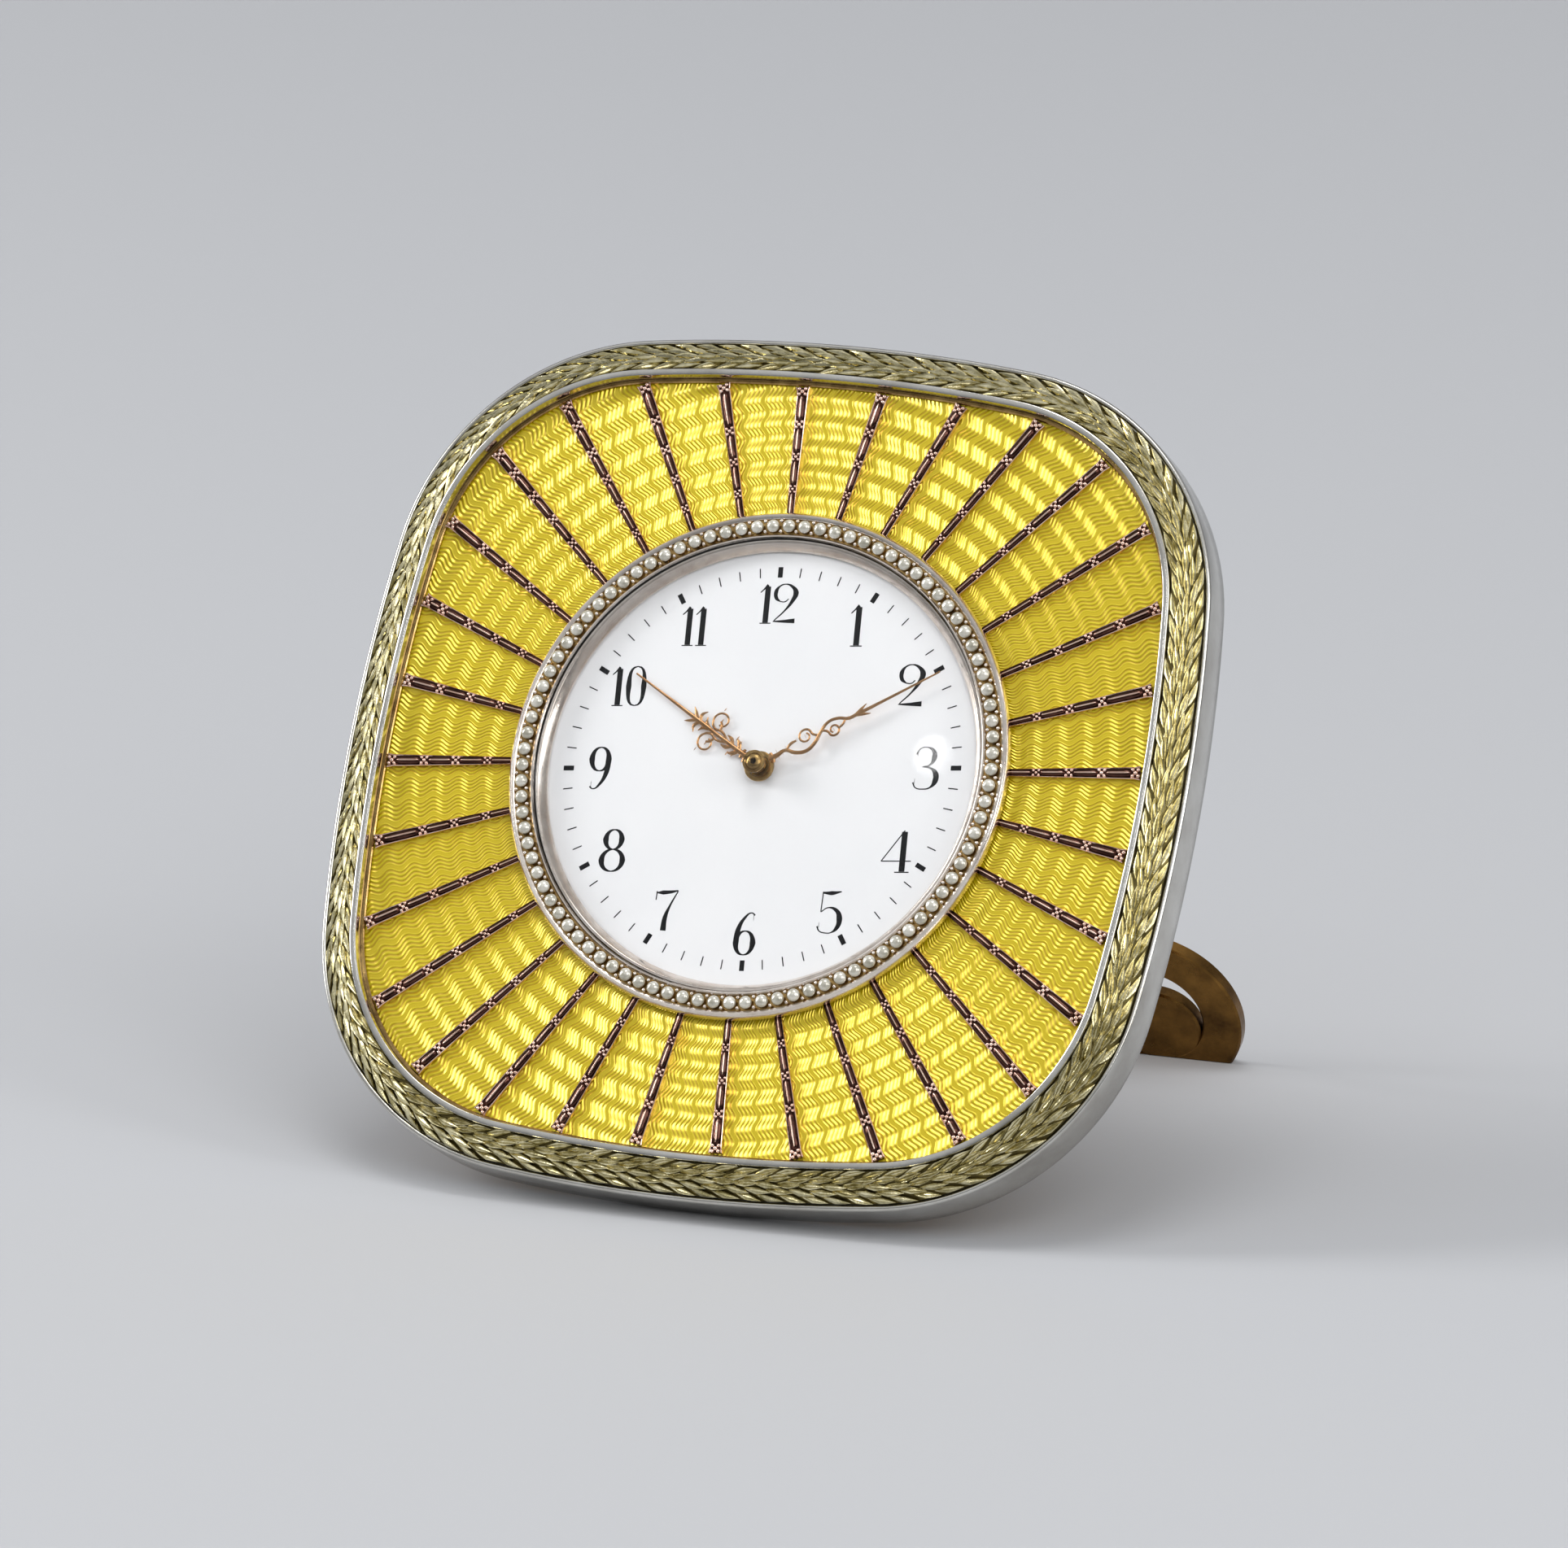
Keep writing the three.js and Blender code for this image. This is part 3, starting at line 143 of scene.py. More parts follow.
silver = wornMetal("hand polished silver", "#d8d6d0", "#b9b5ad", 0.15, 9.0)  # bright, rubbed grey in clouds
laurelGold = wornMetal("chased green gold", "#efe6c0", "#a59a66", 0.16, 1.6, dent=0.04)  # pale, dull cuts
groundGold = wornMetal("gold ground with tarnish and painted shade", "#70653d", "#3d351d", 0.4, 2.0, dent=0.05)  # painted shade: dark overall for the gaps, with tarnish clouds
roseGold = wornMetal("polished rose gold", "#f5dccf", "#d2ac9a", 0.14, 3.0)  # pink, catches the light
plumGold = wornMetal("rose gold painted dark for reflected shade", "#5c3d35", "#2e1c18", 0.1, 2.5)  # plum brown: painted dark reflection and shade, sharp streaks
paleGold = wornMetal("pale rose gold", "#f2e9e0", "#d6c8bb", 0.16, 4.0)  # greyish pink bezel
handGold = wornMetal("pierced red gold", "#dcaf80", "#ab7c4e", 0.16, 2.5)  # warm, glints on round edges
colletGold = wornMetal("turned gilt brass", "#bf9f66", "#7d5f37", 0.2, 2.0)  # olive brown, turned
agedGilt = wornMetal("aged gilt brass", "#8e6834", "#48321a", 0.3, 7.0, dent=0.03)  # brown, dark stains
backGilt = wornMetal("gilt brass", "#c09b55", "#a37f43", 0.24, 9.0)  # cleaner gilding out of the light
brass = wornMetal("brushed brass", "#b5924a", "#967636", 0.3, 5.0)  # plates and wheels of the movement
steel = wornMetal("polished steel", "#9a9da2", "#6f737a", 0.2, 5.0)  # arbors, springs and screws


# Translucent enamel over engine turned silver: wavy V cuts in groups flash under a smooth gloss.
# Every fifth line is left plain, so that the flashes stand in short blocks. Lengths are in millimetres.
def engineTurnedEnamel():
    turning = {"groups": 104, "linesInGroup": 5, "waveLength": 3.12, "swing": 0.33, "slope": 0.38}
    lines = turning["groups"] * turning["linesInGroup"]
    material, shader = newMaterial("lemon enamel over engine turned silver", {
        "Metallic": 0.4, "Roughness": 0.22, "IOR": 1.6, "Specular IOR Level": 0.75, "Coat Weight": 0.15,
        "Coat Roughness": 0.04, "Coat IOR": 1.5})
    place = faceCoordinates(material)
    flat = addNode(material, "ShaderNodeVectorMath", {0: place, 1: (1, 1, 0)}, operation="MULTIPLY")
    radius = addNode(material, "ShaderNodeVectorMath", {0: flat}, operation="LENGTH").outputs["Value"]
    axes = addNode(material, "ShaderNodeSeparateXYZ", {0: flat})
    angle = addNode(material, "ShaderNodeMath", {
        0: axes.outputs["Y"], 1: axes.outputs["X"]}, operation="ARCTAN2")
    phase = addNode(material, "ShaderNodeMath", {
        0: radius, 1: 2 * pi / turning["waveLength"]}, operation="MULTIPLY")
    wave = addNode(material, "ShaderNodeMath", {0: phase}, operation="SINE")
    swing = addNode(material, "ShaderNodeMath", {0: wave, 1: turning["swing"]}, operation="MULTIPLY")
    sway = addNode(material, "ShaderNodeMath", {0: swing, 1: radius}, operation="DIVIDE")
    swayed = addNode(material, "ShaderNodeMath", {0: angle, 1: sway}, operation="ADD")
    count = addNode(material, "ShaderNodeMath", {0: swayed, 1: lines / (2 * pi)}, operation="MULTIPLY")
    ridge = addNode(material, "ShaderNodeMath", {0: count, 1: 0.5}, operation="PINGPONG")
    level = addNode(material, "ShaderNodeMath", {0: ridge, 1: 0.25}, operation="SUBTRACT")
    groupTurn = addNode(material, "ShaderNodeMath", {0: swayed, 1: turning["groups"]}, operation="MULTIPLY")
    group = addNode(material, "ShaderNodeMath", {0: groupTurn}, operation="COSINE")
    cut = addNode(material, "ShaderNodeMapRange", {
        "Value": group, "From Min": 0.7, "From Max": 0.88, "To Min": 1.0, "To Max": 0.0})
    height = addNode(material, "ShaderNodeMath", {0: level, 1: cut}, operation="MULTIPLY")
    grown = addNode(material, "ShaderNodeMath", {0: height, 1: radius}, operation="MULTIPLY")
    bump = addNode(material, "ShaderNodeBump", {
        "Height": grown, "Distance": turning["slope"] * 2 * pi / lines * mm, "Strength": 1.0})
    thin = addNode(material, "ShaderNodeMapRange", {"Value": height, "From Min": -0.25, "From Max": 0.25})
    tint = addNode(material, "ShaderNodeMix", {
        0: thin, 6: colour("#c8a300"), 7: colour("#f3e014")}, data_type="RGBA")  # paler on the ridges
    connect(material, shader, {"Base Color": tint.outputs[2], "Normal": bump})
    return material


lemonEnamel = engineTurnedEnamel()


# Fired white enamel: clean and glossy, with faint clouds and the waviness of melted glass
def firedWhite():
    material, shader = newMaterial("fired white enamel", {
        "Roughness": 0.25, "IOR": 1.5, "Coat Weight": 0.6, "Coat Roughness": 0.06})
    place = faceCoordinates(material)
    cloud = addNode(material, "ShaderNodeTexNoise", {"Vector": place, "Scale": 1 / 11, "Detail": 3.0})
    tint = addNode(material, "ShaderNodeMix", {
        0: cloud, 6: colour("#f6f6f7"), 7: colour("#edeef0")}, data_type="RGBA")
    ripple = addNode(material, "ShaderNodeTexNoise", {"Vector": place, "Scale": 1 / 3, "Detail": 2.0})
    bump = addNode(material, "ShaderNodeBump", {"Height": ripple, "Distance": 0.05 * mm, "Strength": 0.3})
    connect(material, shader, {"Base Color": tint.outputs[2], "Normal": bump})
    return material


whiteEnamel = firedWhite()


# Fired black paint: near black, half glossy, slightly uneven as brushed figures are
def firedBlack():
    material, shader = newMaterial("fired black paint", {
        "Roughness": 0.4, "IOR": 1.5, "Specular IOR Level": 0.15})
    uneven = addNode(material, "ShaderNodeTexNoise", {
        "Vector": faceCoordinates(material), "Scale": 1 / 0.4, "Detail": 4.0})
    tint = addNode(material, "ShaderNodeMix", {
        0: uneven, 6: colour("#030304"), 7: colour("#0b0c10")}, data_type="RGBA")
    connect(material, shader, {"Base Color": tint.outputs[2]})
    return material


blackPaint = firedBlack()


# Seed pearl: cream or grey, cloudy inside. Light comes back from many layers, so the gloss is strong.
def seedPearl():
    material, shader = newMaterial("seed pearl", {
        "Metallic": 0.3, "Roughness": 0.22, "IOR": 1.68, "Specular IOR Level": 1.0, "Coat Weight": 1.0,
        "Coat Roughness": 0.1, "Coat IOR": 1.68, "Subsurface Weight": 0.2,
        "Subsurface Radius": (0.6, 0.55, 0.5), "Subsurface Scale": 0.6 * mm})
    place = faceCoordinates(material)
    each = addNode(material, "ShaderNodeTexNoise", {"Vector": place, "Scale": 1 / 1.6, "Detail": 3.0})
    blend = addNode(material, "ShaderNodeMapRange", {"Value": each, "From Min": 0.35, "From Max": 0.65})
    tint = addNode(material, "ShaderNodeMix", {
        0: blend, 6: colour("#e4e0d4"), 7: colour("#aca794")}, data_type="RGBA")
    connect(material, shader, {"Base Color": tint.outputs[2]})
    return material


pearl = seedPearl()


# Ground watch glass: clear, with a thin hard reflection and faint smears, and light passes to the dial.
# It bends light very little, because the real one is thin.
def watchGlass():
    material, shader = newMaterial("ground watch glass", {
        "Roughness": 0.0, "IOR": 1.03, "Transmission Weight": 1.0, "Coat Weight": 0.3, "Coat IOR": 1.5,
        "Coat Roughness": 0.05})
    smear = addNode(material, "ShaderNodeTexNoise", {
        "Vector": faceCoordinates(material), "Scale": 1 / 8, "Detail": 4.0})
    rough = addNode(material, "ShaderNodeMapRange", {
        "Value": smear, "From Min": 0.4, "From Max": 0.8, "To Min": 0.0, "To Max": 0.02})
    connect(material, shader, {"Roughness": rough})
    clear = addNode(material, "ShaderNodeBsdfTransparent", {})
    ray = addNode(material, "ShaderNodeLightPath", {}).outputs["Is Shadow Ray"]
    surface = addNode(material, "ShaderNodeMixShader", {0: ray, 1: shader, 2: clear})
    connect(material, material.node_tree.nodes["Material Output"], {"Surface": surface})
    return material


glass = watchGlass()
print("materials made")

# Making pieces


# Turns a bmesh into a piece that rides on a body; shapes in face millimetres are placed first
def addPiece(name, shape, body, material, replaced=(), inFace=True, crease=32):
    if inFace:
        bmesh.ops.transform(shape, matrix=facePlace @ Matrix.Scale(mm, 4), verts=shape.verts)
    mesh = bpy.data.meshes.new(name)
    shape.to_mesh(mesh)
    shape.free()
    for face in mesh.polygons:
        face.use_smooth = True
    mesh.set_sharp_from_angle(angle=radians(crease))
    mesh.materials.append(material)
    piece = bpy.data.objects.new(name, mesh)
    bpy.context.scene.collection.objects.link(piece)
    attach(piece, body)
    if replaced:
        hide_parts(*replaced)
    print("made", name, len(mesh.polygons), "faces")


def closeShape(shape):
    bmesh.ops.remove_doubles(shape, verts=shape.verts, dist=1e-4)
    bmesh.ops.recalc_face_normals(shape, faces=shape.faces)


# Corners and edges through points, closed or open
def addPath(shape, points, closed=True):
    corners = [shape.verts.new(point) for point in points]
    ends = corners[1:] + corners[:1] if closed else corners[1:]
    return corners + [shape.edges.new(pair) for pair in zip(corners, ends)]


# A turned ring, or a dome, from a profile of (radius, z)
def turnRing(shape, profile, steps=128, closed=True):
    path = addPath(shape, [(radius, 0, z) for radius, z in profile], closed)
    bmesh.ops.spin(shape, geom=path, cent=(0, 0, 0), axis=(0, 0, 1), dvec=(0, 0, 0), angle=2 * pi,
                   steps=steps, use_merge=True)


# Adds a copy of a small pattern to a shape
def stamp(shape, pattern, matrix):
    mesh = bpy.data.meshes.new("stamp")
    pattern.to_mesh(mesh)
    mesh.transform(matrix)
    shape.from_mesh(mesh)
    bpy.data.meshes.remove(mesh)


# Rounded bars along strokes of (x, y, half width); a closed stroke starts with "ring"
def drawStrokes(strokes, flatten, resolution):
    curve = bpy.data.curves.new("strokes", "CURVE")
    curve.dimensions = "3D"
    curve.bevel_depth = 1.0
    curve.bevel_resolution = 2
    curve.resolution_u = resolution
    curve.use_fill_caps = True
    for stroke in strokes:
        points = [point for point in stroke if point != "ring"]
        spline = curve.splines.new("BEZIER")
        spline.bezier_points.add(len(points) - 1)
        spline.use_cyclic_u = stroke[0] == "ring"
        for knot, (x, y, half) in zip(spline.bezier_points, points):
            knot.co = (x, y, 0)
            knot.radius = half
            knot.handle_left_type = knot.handle_right_type = "AUTO"
    holder = bpy.data.objects.new("strokes", curve)
    bpy.context.scene.collection.objects.link(holder)
    drawn = holder.evaluated_get(bpy.context.evaluated_depsgraph_get())
    mesh = bpy.data.meshes.new_from_object(drawn)
    bpy.data.objects.remove(holder)
    bpy.data.curves.remove(curve)
    shape = bmesh.new()
    shape.from_mesh(mesh)
    bpy.data.meshes.remove(mesh)
    bmesh.ops.scale(shape, vec=(1, 1, flatten), verts=shape.verts)
    closeShape(shape)
    return shape


# A copy of a CAD node with its sharp edges rounded by a radius in millimetres
def roundNode(name, node, body, material, edge, segments=2):
    shape = bmesh.new()
    shape.from_mesh(frame["nodes"][node].data)
    bmesh.ops.remove_doubles(shape, verts=shape.verts, dist=2e-6)
    bmesh.ops.dissolve_limit(shape, angle_limit=radians(1), verts=shape.verts, edges=shape.edges)
    sharp = [e for e in shape.edges if len(e.link_faces) == 2 and e.calc_face_angle() > radians(32)]
    bmesh.ops.bevel(shape, geom=sharp, offset=edge * mm, offset_type="OFFSET", segments=segments,
                    profile=0.5, affect="EDGES", material=-1, clamp_overlap=True)
    addPiece(name, shape, body, material, (node,), inFace=False)


# Outline of the case: four bowed sides and four round corners

case = {"half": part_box("case_band")[1].x / mm - 0.005, "sideBow": 214, "cornerRadius": 31}
bowCentre = case["half"] - case["sideBow"]
spread = case["sideBow"] - case["cornerRadius"]
cornerCentre = (bowCentre + sqrt(2 * spread ** 2 - bowCentre ** 2)) / 2
sideAngle = atan2(cornerCentre, cornerCentre - bowCentre)
cornerAngle = pi / 2 - 2 * sideAngle


# A moulding of (inset, z) points carried round the outline by eight spins
def sweepCase(shape, profile, steps=28):
    start = Vector((cos(sideAngle), -sin(sideAngle), 0))
    section = addPath(shape, [
        Vector((bowCentre, 0, z)) + start * (case["sideBow"] - inset) for inset, z in profile])
    for quarter in range(4):
        turned = Matrix.Rotation(quarter * pi / 2, 4, "Z")
        for centre, angle in (((bowCentre, 0, 0), 2 * sideAngle),
                              ((cornerCentre, cornerCentre, 0), cornerAngle)):
            section = bmesh.ops.spin(
                shape, geom=section, cent=turned @ Vector(centre), axis=(0, 0, 1), dvec=(0, 0, 0),
                angle=angle, steps=steps)["geom_last"]
    closeShape(shape)


# Place and heading at a share of the way round, counted from the middle of the right side
def borderPoint(inset, share):
    sideRadius, cornerRadius = case["sideBow"] - inset, case["cornerRadius"] - inset
    sideLength, cornerLength = 2 * sideAngle * sideRadius, cornerAngle * cornerRadius
    along = (share % 1) * 4 * (sideLength + cornerLength) + sideLength / 2
    quarter = int(along // (sideLength + cornerLength))
    along -= quarter * (sideLength + cornerLength)
    if along < sideLength:
        angle = along / sideRadius - sideAngle
        place = Vector((bowCentre + sideRadius * cos(angle), sideRadius * sin(angle), 0))
    else:
        angle = sideAngle + (along - sideLength) / cornerRadius
        place = Vector((cornerCentre, cornerCentre, 0)) + cornerRadius * Vector((cos(angle), sin(angle), 0))
    return Matrix.Rotation(quarter * pi / 2, 3, "Z") @ place, angle + (quarter + 1) * pi / 2


# Case band: side wall with a rubbed rear edge, half round rim and the flange inside

band = {"wall": 1.4, "depth": 6.85, "rim": 0.7, "rimSteps": 8, "flangeTop": 5.8, "flangeUnder": 4.8,
        "flangeInner": 7.2, "rearEdge": ((0.54, 0), (0.14, 0.72), (0, 1.08))}
rimRadius = band["rim"] / 2
rimArc = [(rimRadius - rimRadius * cos(pi * i / band["rimSteps"]),
           band["depth"] - rimRadius + rimRadius * sin(pi * i / band["rimSteps"]))
          for i in range(band["rimSteps"] + 1)]
shape = bmesh.new()
sweepCase(shape, [
    (band["wall"], 0), *band["rearEdge"], *rimArc, (band["rim"], band["flangeTop"]),
    (band["flangeInner"], band["flangeTop"]), (band["flangeInner"], band["flangeUnder"]),
    (band["wall"], band["flangeUnder"])])
addPiece("silver_case", shape, "case", silver, ("case_band",))

# Laurel border: a sloping ground, darkened as painted shade, under five rows of overlapping leaves.
# A row is its inset and its splay; a section is the heights of the vein, the hollow beside it and the edge.

laurel = {"outer": 0.85, "inner": 4.35, "base": 5.95, "low": 7.0, "high": 8.8, "sink": 0.45, "steps": 6}
leaf = {"length": 3.9, "width": 0.88, "section": (0.4, 0.14, 0.28), "tipLift": 0.38, "thickness": 0.25,
        "sink": 0.6, "span": 0.4, "count": 128, "turn": 4, "roll": 11,
        "rows": ((1.4, -13), (2.05, -7), (2.7, 0), (3.3, 7), (3.9, 13))}


def laurelHeight(inset):
    share = (inset - laurel["outer"]) / (laurel["inner"] - laurel["outer"])
    return laurel["low"] + (laurel["high"] - laurel["low"]) * (1 - (1 - share) ** 2)


shape = bmesh.new()
step = (laurel["inner"] - laurel["outer"]) / laurel["steps"]
slopes = [laurel["outer"] + i * step for i in range(laurel["steps"] + 1)]
sweepCase(shape, [(laurel["inner"], laurel["base"]), (laurel["outer"], laurel["base"]),
                  *[(inset, laurelHeight(inset) - laurel["sink"]) for inset in slopes]])
addPiece("laurel_ground", shape, "case", groundGold, ("laurel_border",))

pattern = bmesh.new()
bmesh.ops.create_grid(pattern, x_segments=4, y_segments=4, size=0.5)
for vert in pattern.verts:
    x, y = vert.co.x, vert.co.y
    belly = max(1 - abs(2 * x) ** 1.4, 0.02)  # a lozenge, pointed at both ends
    rise = leaf["section"][round(abs(4 * y))] * belly + leaf["tipLift"] * (x + 0.5)
    vert.co = (x * leaf["length"], y * leaf["width"] * belly, rise)
bmesh.ops.solidify(pattern, geom=pattern.faces[:], thickness=leaf["thickness"])
closeShape(pattern)
shape = bmesh.new()
for row, (inset, splay) in enumerate(leaf["rows"]):
    climb = laurelHeight(inset + leaf["span"]) - laurelHeight(inset - leaf["span"])
    slope = atan2(climb, 2 * leaf["span"])
    for i in range(leaf["count"]):
        place, heading = borderPoint(inset, (i + 0.5 * (row % 2)) / leaf["count"])
        place.z = laurelHeight(inset) - leaf["sink"]
        turn = radians(splay + leaf["turn"] * sin(2.4 * i + 1.7 * row))  # cut by hand, so no two lie alike
        roll = radians(leaf["roll"] * sin(4.1 * i + 2.9 * row))
        stamp(shape, pattern, Matrix.Translation(place) @ Matrix.Rotation(heading, 4, "Z")
              @ Matrix.Rotation(slope, 4, "X") @ Matrix.Rotation(turn, 4, "Z")
              @ Matrix.Rotation(roll, 4, "X"))
pattern.free()
addPiece("laurel_leaves", shape, "case", laurelGold, crease=20)

# Fillet and ledge inside the laurel

fillet = {"outer": 4.42, "inner": 5.25, "base": 5.95, "top": 9.05, "round": 0.2}
filletCut = fillet["round"] * 0.3
shape = bmesh.new()
sweepCase(shape, [
    (fillet["inner"], fillet["base"]), (fillet["outer"], fillet["base"]),
    (fillet["outer"], fillet["top"] - fillet["round"]),
    (fillet["outer"] + filletCut, fillet["top"] - filletCut),
    (fillet["outer"] + fillet["round"], fillet["top"]), (fillet["inner"] - fillet["round"], fillet["top"]),
    (fillet["inner"] - filletCut, fillet["top"] - filletCut),
    (fillet["inner"], fillet["top"] - fillet["round"])])
addPiece("silver_fillet", shape, "case", silver, ("border_fillet",))

ledge = {"outer": 5.3, "inner": 5.75, "base": 7.3, "top": 7.6, "round": 0.12}
shape = bmesh.new()
sweepCase(shape, [
    (ledge["inner"], ledge["base"]), (ledge["outer"], ledge["base"]), (ledge["outer"], ledge["top"]),
    (ledge["inner"] - ledge["round"], ledge["top"]), (ledge["inner"], ledge["top"] - ledge["round"])])
addPiece("gold_ledge", shape, "case", colletGold, ("panel_ledge",))

# Sunrays: beds painted dark as shade, between bright rails with flared ends, polished rods painted dark as dark
# reflection, and knots of five pellets

rays = {"count": 32, "phase": 0.36, "root": 31.0, "endInset": 5.95, "innerWidth": 0.88, "outerWidth": 1.45,
        "flare": 1.2, "flareLength": 0.7, "base": 7.2, "height": 0.6, "channel": 0.2, "rail": 0.1,
        "railRound": 0.06, "firstKnot": 3.5, "knotPitch": 4.05, "lastKnot": 0.55, "knotGap": 0.4,
        "rodWidth": 0.68, "rodHeight": 0.42, "pellet": 0.17, "pelletLift": 0.7, "middlePellet": 1.15,
        "knotLength": 0.34, "knotWidth": 0.25, "streakShare": 0.85, "streakHalf": 0.075, "streakHeight": 0.1}
railTop, bedTop, railIn = rays["height"], rays["height"] - rays["channel"], 0.5 - rays["rail"]
railSide = railTop - rays["railRound"]
railPeak = (0.5 + railIn) / 2
raySections = {
    "beds": [((-railIn, 0), (-railIn, bedTop), (railIn, bedTop), (railIn, 0))],
    "rails": [tuple((side * y, z) for y, z in (
        (railIn, 0), (railIn, railSide), (railPeak, railTop), (0.5, railSide), (0.5, 0)))
        for side in (-1, 1)]}


# A bar along x from a section of (share of the width, z), widening to its flared end
def rayBar(length, section):
    bar = bmesh.new()
    end = bar.faces.new([bar.verts.new((0, y * rays["innerWidth"], z)) for y, z in section])
    lastX, lastWidth = 0, rays["innerWidth"]
    flared = rays["outerWidth"] * rays["flare"]
    for x, width in ((length - rays["flareLength"], rays["outerWidth"]), (length, flared)):
        grown = bmesh.ops.extrude_face_region(bar, geom=[end])["geom"]
        end = next(part for part in grown if isinstance(part, bmesh.types.BMFace))
        bmesh.ops.translate(bar, vec=(x - lastX, 0, 0), verts=end.verts)
        bmesh.ops.scale(bar, vec=(1, width / lastWidth, 1), verts=end.verts)
        lastX, lastWidth = x, width
    bmesh.ops.recalc_face_normals(bar, faces=bar.faces)
    return bar


rod, pellet = bmesh.new(), bmesh.new()
bmesh.ops.create_uvsphere(rod, u_segments=14, v_segments=8, radius=1)
bmesh.ops.rotate(rod, cent=(0, 0, 0), matrix=Matrix.Rotation(pi / 2, 3, "Y"), verts=rod.verts)
for vert in rod.verts:
    away = hypot(vert.co.y, vert.co.z)
    if away > 1e-4:
        fuller = (1 - vert.co.x ** 6) ** 0.6 / away  # a rod with tapered ends, fuller than a ball
        vert.co.y *= fuller
        vert.co.z *= fuller
bmesh.ops.create_uvsphere(pellet, u_segments=8, v_segments=5, radius=rays["pellet"])
bars = {kind: bmesh.new() for kind in raySections}
rods, streakStrips, pellets = bmesh.new(), bmesh.new(), bmesh.new()
streakLevel = bedTop + rays["rodHeight"] - rays["streakHeight"] / 2
pelletLevel = bedTop + rays["pellet"] * rays["pelletLift"]
for ray in range(rays["count"]):
    share = (ray + rays["phase"]) / rays["count"]
    root = Vector((cos(2 * pi * share), sin(2 * pi * share), 0)) * rays["root"]
    run = borderPoint(rays["endInset"], share)[0] - root
    length = run.length
    root.z = rays["base"]
    rayPlace = Matrix.Translation(root) @ Matrix.Rotation(atan2(run.y, run.x), 4, "Z")
    for kind, sections in raySections.items():
        for section in sections:
            bar = rayBar(length, section)
            stamp(bars[kind], bar, rayPlace)
            bar.free()
    knots = []
    knot = rays["firstKnot"]
    while knot < length - rays["lastKnot"] - rays["knotPitch"] / 2:
        knots.append(knot)
        knot += rays["knotPitch"]
    knots.append(length - rays["lastKnot"])
    for start, knot in zip([-rays["knotGap"], *knots], knots):
        middle, reach = (start + knot) / 2, (knot - start) / 2 - rays["knotGap"]
        wide = 1 + (rays["outerWidth"] / rays["innerWidth"] - 1) * middle / length
        stamp(rods, rod, rayPlace @ Matrix.Translation((middle, 0, bedTop)) @ Matrix.Diagonal(
            (reach, rays["rodWidth"] / 2 * wide, rays["rodHeight"], 1)))
        # Painted highlight strips along the top of each rod
        stamp(streakStrips, rod, rayPlace @ Matrix.Translation((middle, 0, streakLevel)) @ Matrix.Diagonal(
            (reach * rays["streakShare"], rays["streakHalf"] * wide, rays["streakHeight"], 1)))
        for along, across in ((0, 0), (1, 1), (1, -1), (-1, 1), (-1, -1)):
            size = wide if along else wide * rays["middlePellet"]
            spot = (knot + along * rays["knotLength"], across * rays["knotWidth"] * wide, pelletLevel)
            stamp(pellets, pellet, rayPlace @ Matrix.Translation(spot) @ Matrix.Scale(size, 4))
rod.free()
pellet.free()
addPiece("ray_beds", bars["beds"], "case", plumGold, ("sunray_fret",))
addPiece("ray_rails", bars["rails"], "case", roseGold, crease=20)
addPiece("ray_rods", rods, "case", plumGold, crease=60)
addPiece("ray_painted_streaks", streakStrips, "case", roseGold, crease=60)  # painted highlight: bright strips along the rods stand for light streaks
addPiece("ray_pellets", pellets, "case", roseGold, crease=80)

# Bezel with its channel, a darker bed in it as painted shade between the pearls, the pearls, and metal grains that
# hold them

bezel = {"outer": 31.3, "lip": 0.9, "sleeveIn": 28.01, "sleeveOut": 29.01, "under": 7.95, "floor": 8.45,
         "top": 9.05, "foot": 5.55, "round": 0.15}
pearls = {"count": 93, "ring": 29.43, "radius": 0.79, "flatten": 0.7, "height": 9.25, "innerLip": 28.46,
          "grain": 0.24, "grainOut": 0.64, "grainHeight": 9.15, "bed": 0.2, "bedClear": 0.02}
channelOut = bezel["outer"] - bezel["lip"]
shape = bmesh.new()
turnRing(shape, [
    (bezel["sleeveIn"], bezel["foot"]), (bezel["sleeveOut"], bezel["foot"]),
    (bezel["sleeveOut"], bezel["under"]), (bezel["outer"], bezel["under"]),
    (bezel["outer"], bezel["floor"]),
    (bezel["outer"] - bezel["round"], bezel["top"] - bezel["round"] * 1.5),
    (bezel["outer"] - bezel["round"] * 2.5, bezel["top"]), (channelOut + bezel["round"] * 2, bezel["top"]),
    (channelOut, bezel["top"] - bezel["round"]), (channelOut, bezel["floor"]),
    (pearls["innerLip"], bezel["floor"]), (pearls["innerLip"], bezel["top"] - bezel["round"]),
    (pearls["innerLip"] - bezel["round"], bezel["top"]), (bezel["sleeveIn"] + bezel["round"], bezel["top"]),
    (bezel["sleeveIn"], bezel["top"] - bezel["round"])])
closeShape(shape)
addPiece("bezel", shape, "case", paleGold, ("bezel_ring",))

# The bed is a darker ring on the channel floor: painted shade in the gaps between the pearls
bedIn, bedOut = pearls["innerLip"] + pearls["bedClear"], channelOut - pearls["bedClear"]
bedLow, bedHigh = bezel["floor"] - pearls["bedClear"], bezel["floor"] + pearls["bed"]
shape = bmesh.new()
turnRing(shape, [(bedIn, bedLow), (bedOut, bedLow), (bedOut, bedHigh), (bedIn, bedHigh)])
closeShape(shape)
addPiece("pearl_painted_shade_bed", shape, "case", colletGold)

